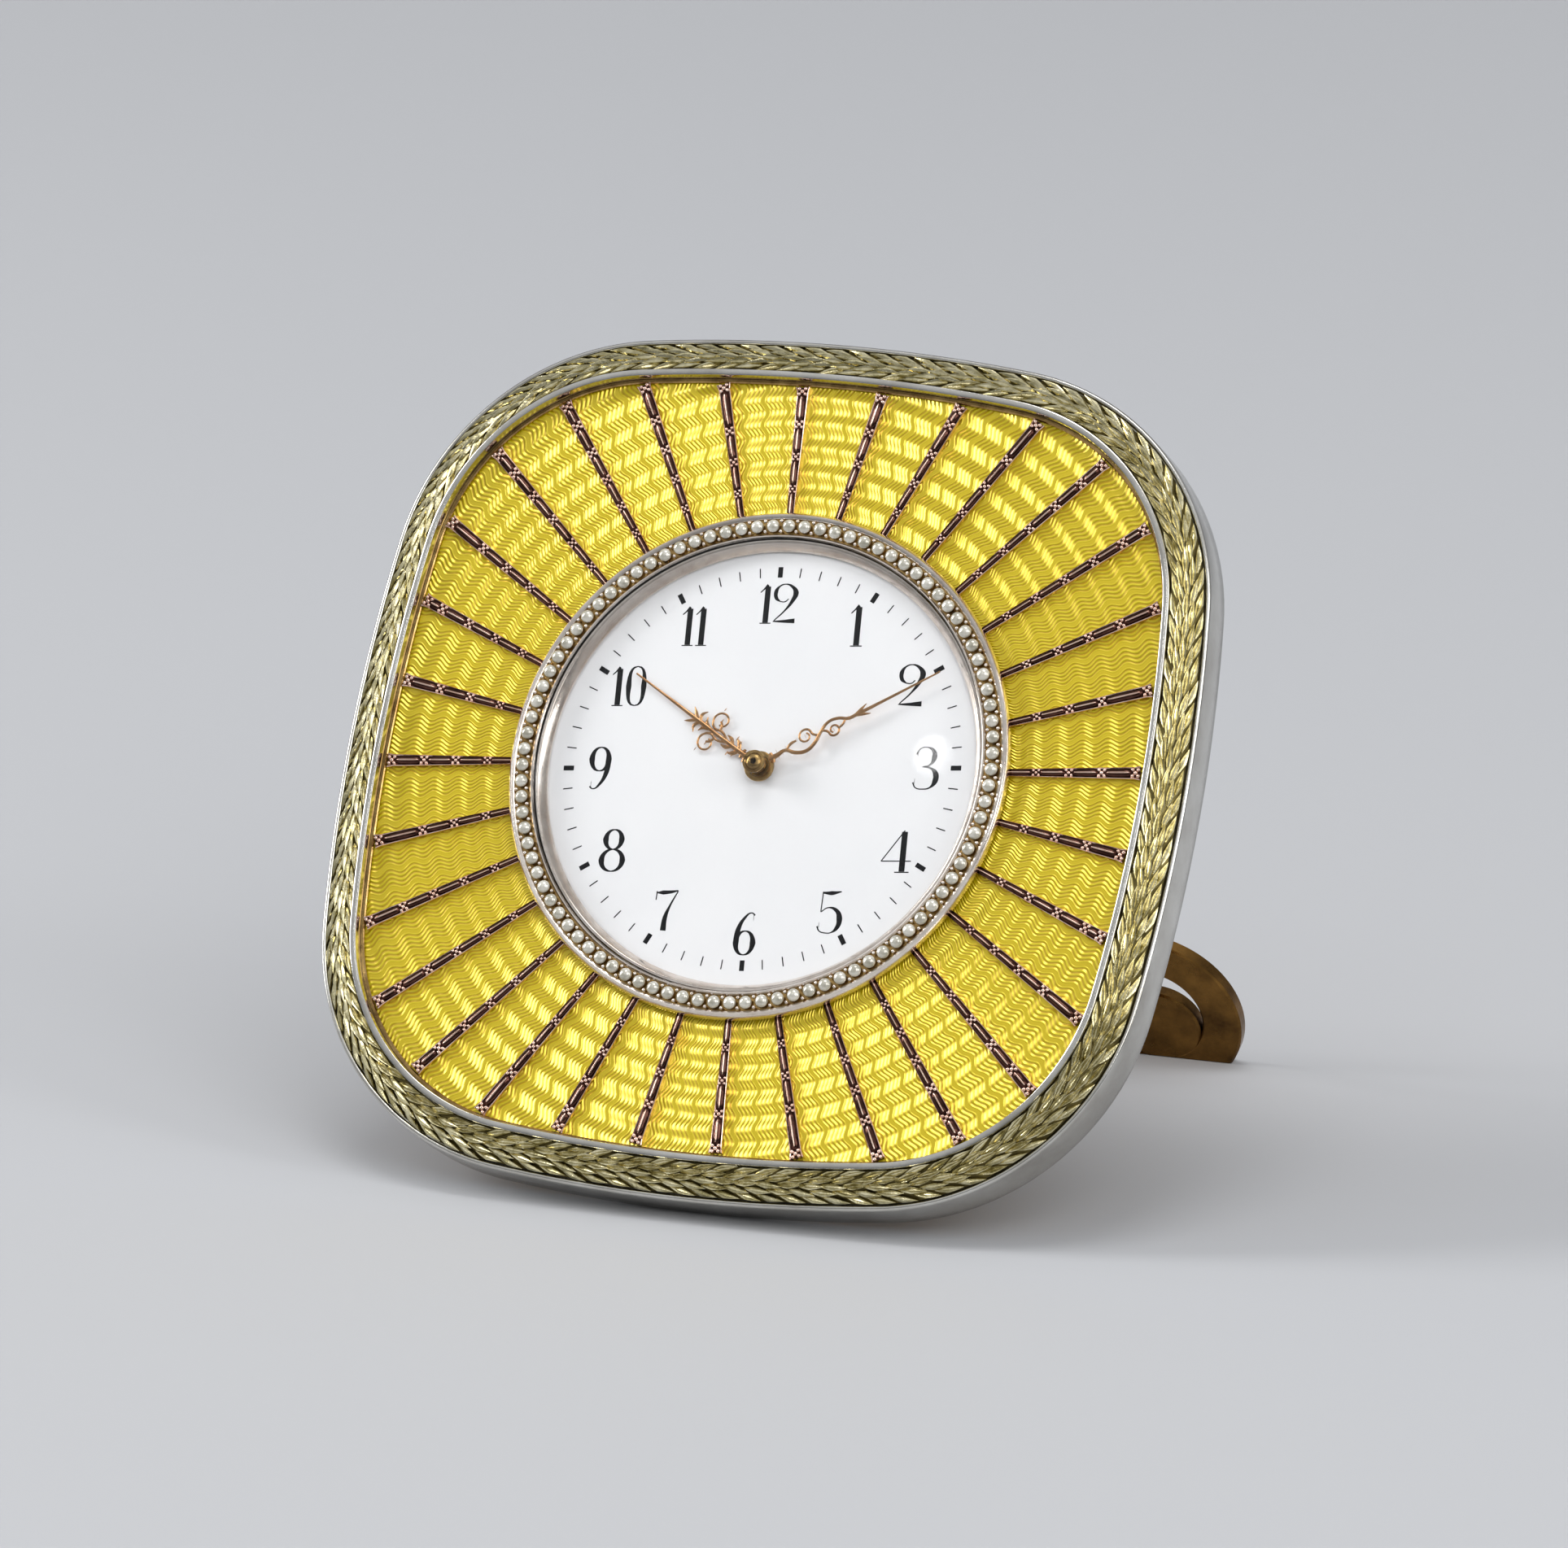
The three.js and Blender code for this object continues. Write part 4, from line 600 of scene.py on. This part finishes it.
ball, grain = bmesh.new(), bmesh.new()
bmesh.ops.create_uvsphere(ball, u_segments=16, v_segments=10, radius=pearls["radius"])
bmesh.ops.scale(ball, vec=(1, 1, pearls["flatten"]), verts=ball.verts)  # half pearls are low domes
bmesh.ops.create_uvsphere(grain, u_segments=8, v_segments=5, radius=pearls["grain"])
shape, grains = bmesh.new(), bmesh.new()
for i in range(pearls["count"]):
    stamp(shape, ball, Matrix.Rotation(2 * pi * i / pearls["count"], 4, "Z")
          @ Matrix.Translation((pearls["ring"], 0, pearls["height"])))
    between = Matrix.Rotation(2 * pi * (i + 0.5) / pearls["count"], 4, "Z")
    for side in (-1, 1):
        stamp(grains, grain, between @ Matrix.Translation(
            (pearls["ring"] + side * pearls["grainOut"], 0, pearls["grainHeight"])))
ball.free()
grain.free()
addPiece("pearls", shape, "case", pearl, ("pearl_ring",), crease=80)
addPiece("pearl_grains", grains, "case", paleGold, crease=80)

# Sloped inner bezel and domed glass

innerBezel = {"outer": 27.86, "width": 1.1, "base": 7.15, "top": 8.55, "lip": 0.3}
innerEdge = innerBezel["outer"] - innerBezel["width"]
shape = bmesh.new()
turnRing(shape, [
    (innerEdge, innerBezel["base"]), (innerBezel["outer"], innerBezel["base"]),
    (innerBezel["outer"], innerBezel["top"]), (innerBezel["outer"] - innerBezel["lip"], innerBezel["top"]),
    (innerBezel["outer"] - innerBezel["lip"] * 1.4, innerBezel["top"] - innerBezel["lip"] * 0.2),
    (innerEdge, innerBezel["base"] + innerBezel["lip"])])
closeShape(shape)
addPiece("inner_bezel_ring", shape, "case", paleGold, ("inner_bezel",))

dome = {"radius": 27.86, "base": 8.7, "edge": 0.6, "rise": 2.5, "thickness": 0.8, "rings": 14, "steps": 96}
crown = dome["base"] + dome["edge"] + dome["rise"]
under = crown - dome["thickness"]
shares = [i / dome["rings"] for i in range(dome["rings"] + 1)]
shape = bmesh.new()
for radius, top, drop in ((dome["radius"], crown, dome["rise"]),
                          (dome["radius"] - dome["thickness"], under, under - dome["base"])):
    profile = [(radius * share, top - drop * share ** 2) for share in shares]
    turnRing(shape, profile, dome["steps"], closed=False)
bmesh.ops.remove_doubles(shape, verts=shape.verts, dist=1e-4)
bmesh.ops.bridge_loops(shape, edges=[e for e in shape.edges if e.is_boundary])
bmesh.ops.recalc_face_normals(shape, faces=shape.faces)
addPiece("watch_glass", shape, "case", glass, ("crystal",))

# Dial printing: figures in thick and thin strokes, hour bars and minute ticks.
# Each figure is drawn in a box one unit high, with half widths of its strokes.

dial = {"turn": 5.4, "face": 7.0, "proud": 0.02, "figureRing": 20.4, "figureHeight": 5.0, "markRing": 24.3,
        "tick": (1.2, 0.14), "bar": (1.3, 0.6), "markEdge": 0.08, "thick": 0.07, "thin": 0.014,
        "ball": 0.06, "flatten": 0.2, "singleTall": 1.06, "figureWide": 0.6, "oneWide": 0.34}
thick, thin = dial["thick"], dial["thin"]


def oval(x, y, across, up):
    return ["ring", (x, y + up, thin), (x + across, y, thick), (x, y - up, thin), (x - across, y, thick)]


def dot(x, y, half):
    return [(x - 0.005, y, half), (x + 0.005, y, half)]


six = [oval(0.3, 0.29, 0.2, 0.276),
       [(0.1, 0.3, thick), (0.13, 0.6, 0.058), (0.26, 0.87, 0.032), (0.41, 0.985, thin), (0.5, 0.93, 0.02)],
       dot(0.47, 0.87, dial["ball"])]
figures = {
    "0": [oval(0.3, 0.5, 0.19, 0.486)],
    "1": [[(0.2, 0.03, thick), (0.2, 0.93, thick)],
          [(0.02, 0.78, thin), (0.1, 0.86, 0.018), (0.2, 0.97, 0.035)],
          [(0.06, thin, thin), (0.34, thin, thin)]],
    "2": [[(0.2, 0.55, thin), (0.09, 0.64, 0.045), (0.07, 0.8, 0.052), (0.15, 0.93, 0.022),
           (0.3, 0.985, thin), (0.47, 0.92, 0.035), (0.57, 0.77, thick), (0.51, 0.59, 0.05),
           (0.34, 0.34, 0.022), (0.08, 0.08, thin)],
          [(0.05, 0.06, thin), (0.3, 0.06, 0.035), (0.6, 0.07, 0.062)],
          [(0.2, 0.55, thin), (0.32, 0.55, thin), (0.4, 0.62, thin)]],
    "3": [[(0.09, 0.82, 0.02), (0.17, 0.95, thin), (0.32, 0.985, thin), (0.48, 0.9, 0.045),
           (0.51, 0.76, 0.066), (0.42, 0.58, 0.02), (0.25, 0.53, thin)],
          [(0.25, 0.53, thin), (0.44, 0.5, 0.025), (0.57, 0.36, 0.066), (0.57, 0.2, 0.066),
           (0.46, 0.05, 0.02), (0.3, thin, thin), (0.12, 0.05, thin), (0.05, 0.17, 0.02)],
          dot(0.12, 0.82, dial["ball"]), dot(0.09, 0.2, dial["ball"])],
    "4": [[(0.5, 0.03, thick), (0.5, 0.95, thick)], [(0.5, 0.98, thin), (0.0, 0.27, thin)],
          [(0.0, 0.27, thin), (0.7, 0.27, thin)], [(0.33, thin, thin), (0.67, thin, thin)]],
    "5": [[(0.13, 0.97, thin), (0.11, 0.5, thin)],
          [(0.13, 0.945, 0.02), (0.33, 0.935, 0.05), (0.56, 0.97, thin)],
          [(0.11, 0.5, thin), (0.28, 0.6, thin), (0.48, 0.53, 0.045), (0.56, 0.35, thick),
           (0.52, 0.14, 0.05), (0.39, 0.025, thin), (0.26, thin, thin), (0.11, 0.06, thin),
           (0.05, 0.17, 0.02)],
          dot(0.09, 0.2, dial["ball"])],
    "6": six,
    "7": [[(0.05, 0.93, thin), (0.2, 0.935, 0.05), (0.4, 0.95, 0.035), (0.55, 0.98, thin)],
          [(0.05, 0.97, thin), (0.04, 0.76, thin)],
          [(0.55, 0.97, thin), (0.38, 0.62, 0.025), (0.29, 0.35, 0.055), (0.27, 0.05, thick)]],
    "8": [oval(0.3, 0.755, 0.19, 0.23), oval(0.3, 0.27, 0.25, 0.256)],
    "9": [[part if part == "ring" else (dial["figureWide"] - part[0], 1 - part[1], part[2])
           for part in stroke] for stroke in six],
}
dialTurn = Matrix.Rotation(radians(dial["turn"]), 4, "Z")
shape = bmesh.new()
for hour in range(1, 13):
    angle = pi / 2 - hour * pi / 6
    spot = (dial["figureRing"] * cos(angle), dial["figureRing"] * sin(angle), dial["face"])
    tall = dial["figureHeight"] * (dial["singleTall"] if hour < 10 else 1)
    sized = Matrix.Diagonal((tall, tall, dial["proud"] / (dial["flatten"] * thick), 1))
    stand = dialTurn @ Matrix.Translation(spot) @ sized
    widths = [dial["oneWide"] if figure == "1" else dial["figureWide"] for figure in str(hour)]
    left = -sum(widths) / 2
    for figure, wide in zip(str(hour), widths):
        drawn = drawStrokes(figures[figure], dial["flatten"], resolution=6)
        stamp(shape, drawn, stand @ Matrix.Translation((left, -0.5, 0)))
        drawn.free()
        left += wide
addPiece("dial_figures", shape, "case", blackPaint)

mark = bmesh.new()
bmesh.ops.create_cube(mark, size=1)
upper = [e for e in mark.edges if min(v.co.z for v in e.verts) > 0]
bmesh.ops.bevel(mark, geom=upper, offset=dial["markEdge"], offset_type="OFFSET", segments=1, profile=0.5,
                affect="EDGES", material=-1)
shape = bmesh.new()
for minute in range(60):
    long, wide = dial["tick"] if minute % 5 else dial["bar"]
    stamp(shape, mark, dialTurn @ Matrix.Rotation(minute * pi / 30, 4, "Z") @ Matrix.Translation(
        (dial["markRing"], 0, dial["face"])) @ Matrix.Diagonal((long, wide, 2 * dial["proud"], 1)))
mark.free()
addPiece("dial_marks", shape, "case", blackPaint)

# Hands: pierced scrolls, drawn along x from the hub as (x, y, half width)

hands = {"hourDirection": 150.6, "hourLevel": 7.47, "minuteDirection": 33.4, "minuteLevel": 8.27,
         "flatten": 0.52, "wire": 0.14, "swell": 1.1, "curl": 0.55, "taper": 0.25}


# A scroll from a point into a shrinking turn round a centre
def scroll(start, centre, radius, fromAngle, sweep, points=9):
    stroke = [(*start, hands["wire"])]
    for i in range(points):
        share = i / (points - 1)
        angle, reach = radians(fromAngle + sweep * share), radius * (1 - hands["curl"] * share)
        half = hands["wire"] * (1 - hands["taper"] * share)
        stroke.append((centre[0] + reach * cos(angle), centre[1] + reach * sin(angle), half))
    return stroke


def bothSides(strokes):
    return strokes + [[(x, -y, half) for x, y, half in stroke] for stroke in strokes]


hourStrokes = [
    [(1.9, 0, 0.42), (3.1, 0, 0.3), (4.8, 0, 0.24), (7.6, 0, 0.2), (9.4, 0, 0.26), (10.6, 0, 0.24),
     (20.4, 0, 0.1)],
    [(2.2, -0.85, 0.2), (2.32, 0, 0.28), (2.2, 0.85, 0.2)],
    [(2.85, -0.62, 0.16), (2.92, 0, 0.24), (2.85, 0.62, 0.16)],
    *bothSides([
        [(3.5, 0.1, 0.2), (4.0, 0.7, 0.26), (4.5, 1.0, 0.1)],
        [(4.6, 0.1, 0.18), (5.2, 0.6, 0.22), (5.9, 0.7, 0.06)],
        scroll((5.6, 0.15), (7.6, 1.6), 1.3, -130, 400),
        [(7.0, 0.4, 0.12), (7.3, 1.2, 0.16), (7.7, 1.5, 0.12)],
        [(8.4, 0.1, 0.16), (9.1, 0.45, 0.16), (9.4, 1.0, 0.06)],
        [(9.9, 0.05, 0.2), (10.2, 0.8, 0.2), (9.8, 1.5, 0.05)],
        [(10.3, 0.05, 0.2), (11.0, 0.6, 0.18), (11.6, 1.05, 0.04)],
        dot(4.6, 1.1, 0.3), dot(3.9, 0.95, 0.2), dot(7.6, 1.6, 0.3), dot(8.2, 2.95, 0.22),
        dot(9.3, 0.5, 0.2)])]
minuteStrokes = [
    [(1.5, 0, 0.34), (2.6, 0, 0.28), (3.7, 0.1, 0.2), (4.7, -0.75, 0.22), (6.0, -1.2, 0.22),
     (7.3, -0.8, 0.22), (8.5, 0.1, 0.2), (9.8, 0.8, 0.18), (11.1, 0.65, 0.18), (12.2, 0.05, 0.2),
     (13.4, 0, 0.22), (24.5, 0, 0.1)],
    [(1.9, -0.65, 0.18), (2.0, 0, 0.26), (1.9, 0.65, 0.18)],
    scroll((8.1, -0.15), (6.6, 0.5), 0.95, -10, 420), scroll((8.7, 0.2), (10.1, -0.4), 0.8, 170, 420),
    [(4.0, 0.15, 0.14), (4.6, 0.5, 0.18), (5.4, 0.55, 0.12)],
    [(11.9, 0.2, 0.12), (11.3, -0.3, 0.14), (10.6, -0.5, 0.1)],
    dot(2.7, 0.45, 0.26), dot(2.7, -0.45, 0.26), dot(3.3, 0.05, 0.34), dot(3.9, 0.4, 0.22),
    dot(4.9, 0.55, 0.3), dot(5.5, 0.6, 0.2), dot(6.6, 0.5, 0.26), dot(10.1, -0.4, 0.24),
    dot(11.0, -0.4, 0.22), dot(12.3, 0, 0.36),
    *bothSides([[(13.1, 0, 0.18), (14.0, 0.32, 0.18), (14.9, 0.68, 0.05)]])]
for side, strokes in (("hour", hourStrokes), ("minute", minuteStrokes)):
    swollen = [[(x, y, half * hands["swell"]) for x, y, half in stroke] for stroke in strokes]
    shape = drawStrokes(swollen, hands["flatten"], resolution=5)
    pointing = Matrix.Rotation(radians(hands[side + "Direction"]), 3, "Z")
    bmesh.ops.rotate(shape, cent=(0, 0, 0), matrix=pointing, verts=shape.verts)
    bmesh.ops.translate(shape, vec=(0, 0, hands[side + "Level"]), verts=shape.verts)
    addPiece(side + "_scrolls", shape, side, handGold, (side + "_hand",), crease=60)

# Collets: a low ring on the hour hand and a domed cap with a dark hole on the minute hand

collets = {
    "hour": [(1.35, 7.65), (1.85, 7.65), (1.85, 7.9), (1.78, 8.0), (1.65, 8.05), (1.35, 8.05)],
    "minute": [(0.85, 8.45), (1.1, 8.45), (1.1, 9.42), (1.34, 9.48), (1.4, 9.6), (1.4, 9.92), (1.32, 10.03),
               (1.08, 10.06), (0.97, 9.96), (0.86, 10.06), (0.62, 10.17), (0.46, 10.2), (0.36, 10.12),
               (0.36, 9.3), (0.85, 9.3)]}
for side, profile in collets.items():
    shape = bmesh.new()
    turnRing(shape, profile, steps=64)
    closeShape(shape)
    addPiece(side + "_cap", shape, side, colletGold, (side + "_collet",))

# Strut: flat parts drawn from the hinge axis down; each is thinner than the one it is soldered to

strut = {"length": 86, "half": 1.0, "thinner": 0.02, "edge": 0.25, "band": 5.0, "ringInner": 30.06,
         "ringDrop": 38.0, "footAcross": 27.8, "footRise": 7.0, "footRadius": 11.8, "eyeRadius": 5.4,
         "eyeOut": 0.94, "eyeDrop": 1.86, "knuckle": 1.6, "knuckleWidth": 10, "pinHole": 0.9,
         "neckTop": 1.2}


# Profile of a flat ring or disc with chamfered edges
def flatRing(inner, outer, half):
    edge = strut["edge"]
    profile = [(outer - edge, -half), (outer, edge - half), (outer, half - edge), (outer - edge, half)]
    if inner:
        hole = [(inner + edge, half), (inner, half - edge), (inner, edge - half), (inner + edge, -half)]
        return profile + hole
    return [(0, -half), *profile, (0, half)]


footHalf, eyeHalf, slabHalf = [strut["half"] - i * strut["thinner"] for i in (1, 2, 3)]
flatParts = []
ring = bmesh.new()
turnRing(ring, flatRing(strut["ringInner"], strut["ringInner"] + strut["band"], strut["half"]), steps=144)
flatParts.append((ring, (0, -strut["ringDrop"], 0)))
footDrop = strut["footRise"] - strut["length"]
eyeAcross = strut["footAcross"] + strut["eyeOut"]
for side in (-1, 1):
    foot, eye = bmesh.new(), bmesh.new()
    turnRing(foot, flatRing(strut["footRadius"] - strut["band"], strut["footRadius"], footHalf), steps=96)
    flatParts.append((foot, (side * strut["footAcross"], footDrop, 0)))
    turnRing(eye, flatRing(0, strut["eyeRadius"], eyeHalf), steps=72, closed=False)
    flatParts.append((eye, (side * eyeAcross, footDrop - strut["eyeDrop"], 0)))
barrel = bmesh.new()
turnRing(barrel, flatRing(strut["pinHole"], strut["knuckle"], strut["knuckleWidth"] / 2), steps=48)
bmesh.ops.rotate(barrel, cent=(0, 0, 0), matrix=Matrix.Rotation(pi / 2, 3, "Y"), verts=barrel.verts)
flatParts.append((barrel, (0, 0, 0)))
barTop = footDrop + strut["footRadius"]
ringTop = strut["ringInner"] + strut["band"] / 2 - strut["ringDrop"]
for wide, low, high in ((2 * strut["footAcross"], barTop - strut["band"], barTop),
                        (strut["knuckleWidth"], ringTop, -strut["neckTop"])):
    slab = bmesh.new()
    bmesh.ops.create_cube(slab, size=1)
    bmesh.ops.scale(slab, vec=(wide, high - low, 2 * slabHalf), verts=slab.verts)
    bmesh.ops.bevel(slab, geom=slab.edges, offset=strut["edge"], offset_type="OFFSET", segments=2,
                    profile=0.5, affect="EDGES", material=-1)
    flatParts.append((slab, (0, (low + high) / 2, 0)))
hinge = Vector(joints["strut_fold"]["pos_m"])
slant = acos(hinge.z / (strut["length"] * mm))
strutAxes = ((1, 0, 0), (0, -sin(slant), cos(slant)), (0, -cos(slant), -sin(slant)))
strutTurn = Matrix(strutAxes).transposed().to_4x4()
strutPlace = Matrix.Translation(hinge) @ strutTurn @ Matrix.Scale(mm, 4)
shape = bmesh.new()
for part, place in flatParts:
    closeShape(part)
    stamp(shape, part, strutPlace @ Matrix.Translation(place))
    part.free()
# Flat soles on the table
bmesh.ops.bisect_plane(shape, geom=shape.verts[:] + shape.edges[:] + shape.faces[:], dist=1e-8,
                       plane_co=(0, 0, 1e-7), plane_no=(0, 0, 1), clear_inner=True)
bmesh.ops.holes_fill(shape, edges=[e for e in shape.edges if e.is_boundary], sides=0)
bmesh.ops.recalc_face_normals(shape, faces=shape.faces)
addPiece("strut_plate", shape, "strut", agedGilt, ("strut",), inFace=False)

# Back: plate, key, knob, hinge, cap, bead, screws and drum

roundNode("back_cover", "back_plate", "case", backGilt, edge=0.1)
roundNode("key", "winding_key", "winding", backGilt, edge=0.25, segments=3)
roundNode("knob", "set_knob", "minute", backGilt, edge=0.12)
roundNode("hinge_plate", "hinge_leaf", "case", backGilt, edge=0.12)
roundNode("hinge_rod", "hinge_pin", "case", steel, edge=0.15)
roundNode("cap", "drum_cap", "case", backGilt, edge=0.1)

bead = {"ring": 26.9, "radius": 0.35, "level": -11.35, "sides": 10}
corners = [2 * pi * i / bead["sides"] for i in range(bead["sides"])]
shape = bmesh.new()
turnRing(shape, [(bead["ring"] + bead["radius"] * cos(angle), bead["level"] - bead["radius"] * sin(angle))
                 for angle in corners])
closeShape(shape)
addPiece("cap_bead", shape, "case", backGilt)

# Slotted screws, each where its node stands, with the outer face of the head at z 0
screw = {"head": 0.8, "edge": 0.32, "dome": ((0.55, 0.05), (0.85, 0.16)), "shank": 0.9, "slot": 0.5,
         "turn": 0.9}
toFace = facePlace.inverted()
screwNodes = [node for node in frame["nodes"] if node.startswith(("back_screw", "hinge_screw"))]
for i, node in enumerate(screwNodes):
    corners = [toFace @ vert.co / mm for vert in frame["nodes"][node].data.vertices]
    lows, highs = [[pick(c[axis] for c in corners) for axis in range(3)] for pick in (min, max)]
    radius, tip = (highs[0] - lows[0]) / 2, highs[2] - lows[2]
    shape = bmesh.new()
    turnRing(shape, [
        (0, 0), *[(radius * share, drop) for share, drop in screw["dome"]], (radius, screw["edge"]),
        (radius, screw["head"]), (screw["shank"], screw["head"]), (screw["shank"], tip), (0, tip)],
        steps=32, closed=False)
    closeShape(shape)
    for side in (-1, 1):
        bmesh.ops.bisect_plane(shape, geom=shape.verts[:] + shape.edges[:] + shape.faces[:], dist=1e-5,
                               plane_co=(side * screw["slot"] / 2, 0, 0), plane_no=(1, 0, 0))
    middles = [(face, face.calc_center_median()) for face in shape.faces]
    slotted = [face for face, c in middles if abs(c.x) < screw["slot"] / 2 and c.z < screw["edge"]]
    for part in bmesh.ops.extrude_face_region(shape, geom=slotted)["geom"]:
        if isinstance(part, bmesh.types.BMVert):
            part.co.z = screw["edge"]
    closeShape(shape)
    seat = Matrix.Translation(((lows[0] + highs[0]) / 2, (lows[1] + highs[1]) / 2, lows[2]))
    bmesh.ops.transform(shape, matrix=seat @ Matrix.Rotation(screw["turn"] * i, 4, "Z"), verts=shape.verts)
    addPiece(node + "_head", shape, "case", steel, (node,))

drum = {"inner": 26.86, "outer": 27.86, "rear": -10.2, "front": 5.4, "flange": 31.06, "flangeBack": 1.55,
        "flangeFront": 2.55}
shape = bmesh.new()
turnRing(shape, [
    (drum["inner"], drum["rear"]), (drum["outer"], drum["rear"]), (drum["outer"], drum["flangeBack"]),
    (drum["flange"], drum["flangeBack"]), (drum["flange"], drum["flangeFront"]),
    (drum["outer"], drum["flangeFront"]), (drum["outer"], drum["front"]), (drum["inner"], drum["front"])])
closeShape(shape)
addPiece("drum_wall", shape, "case", backGilt, ("movement_drum",))

# CAD nodes that stay, with the finish of their slot

slotFinish = {"yellow_enamel": lemonEnamel, "white_enamel": whiteEnamel, "brass": brass, "steel": steel,
              "gilt": backGilt, "silver": silver, "rose_gold": roseGold, "laurel_gold": laurelGold,
              "hand_gold": handGold, "pearl": pearl, "crystal": glass}
for row in frame["record"]["subparts"]:
    for place in frame["nodes"][row["node"]].material_slots:
        place.material = slotFinish[row["material_slot"]]
print("pieces made")

# Stage: a pale paper sweep and soft lamps

sweep = {"width": 8.0, "front": -4.0, "back": 2.2, "height": 4.0, "bend": 0.9, "below": 0.0001}
shape = bmesh.new()
path = addPath(shape, [(-sweep["width"] / 2, y, z) for y, z in (
    (sweep["front"], 0), (sweep["back"], 0), (sweep["back"], sweep["height"]))], closed=False)
bmesh.ops.bevel(shape, geom=[path[1]], offset=sweep["bend"], offset_type="OFFSET", segments=16, profile=0.5,
                affect="VERTICES", material=-1)
grown = bmesh.ops.extrude_edge_only(shape, edges=shape.edges)["geom"]
farSide = [part for part in grown if isinstance(part, bmesh.types.BMVert)]
bmesh.ops.translate(shape, vec=(sweep["width"], 0, 0), verts=farSide)
bmesh.ops.translate(shape, vec=(0, 0, -sweep["below"]), verts=shape.verts)
bmesh.ops.recalc_face_normals(shape, faces=shape.faces)
mesh = bpy.data.meshes.new("sweep")
shape.to_mesh(mesh)
shape.free()
for face in mesh.polygons:
    face.use_smooth = True
mesh.materials.append(newMaterial("pale paper", {"Base Color": colour("#c6c7ca"), "Roughness": 0.9})[0])
paper = bpy.data.objects.new("sweep", mesh)
bpy.context.scene.collection.objects.link(paper)

world = bpy.data.worlds.new("studio")
world.use_nodes = True
heading = addNode(world, "ShaderNodeTexCoord", {}).outputs["Generated"]
rise = addNode(world, "ShaderNodeSeparateXYZ", {0: heading}).outputs["Z"]
blend = addNode(world, "ShaderNodeMapRange", {"Value": rise, "From Min": -0.1, "From Max": 0.8})
sky = addNode(world, "ShaderNodeMix", {
    0: blend, 6: colour("#5f6267"), 7: colour("#f0f2f4")}, data_type="RGBA")
connect(world, world.node_tree.nodes["Background"], {"Color": sky.outputs[2], "Strength": 0.75})
bpy.context.scene.world = world

lamps = [  # name, place, size, power
    ("left softbox", (-1.72, -0.48, 0.84), (0.55, 1.3), 17.5),
    ("front softbox", (1.05, -1.2, 1.25), (1.1, 1.3), 9),
    ("right softbox", (1.75, -0.48, 0.85), (0.4, 1.1), 6),
    ("top softbox", (0.0, -0.32, 2.0), (0.9, 0.7), 7),
    ("small front lamp", (-0.14, -1.42, 1.5), (0.1, 0.13), 0.35),
]
for name, place, size, power in lamps:
    data = bpy.data.lights.new(name, "AREA")
    data.shape = "ELLIPSE"
    data.size, data.size_y = size
    data.energy = power
    lamp = bpy.data.objects.new(name, data)
    facing = (Vector(place) - aim).to_track_quat("Z", "Y").to_matrix().to_4x4()
    lamp.matrix_world = Matrix.Translation(place) @ facing
    bpy.context.scene.collection.objects.link(lamp)

bpy.context.scene.view_settings.view_transform = "Standard"

print("scene done")
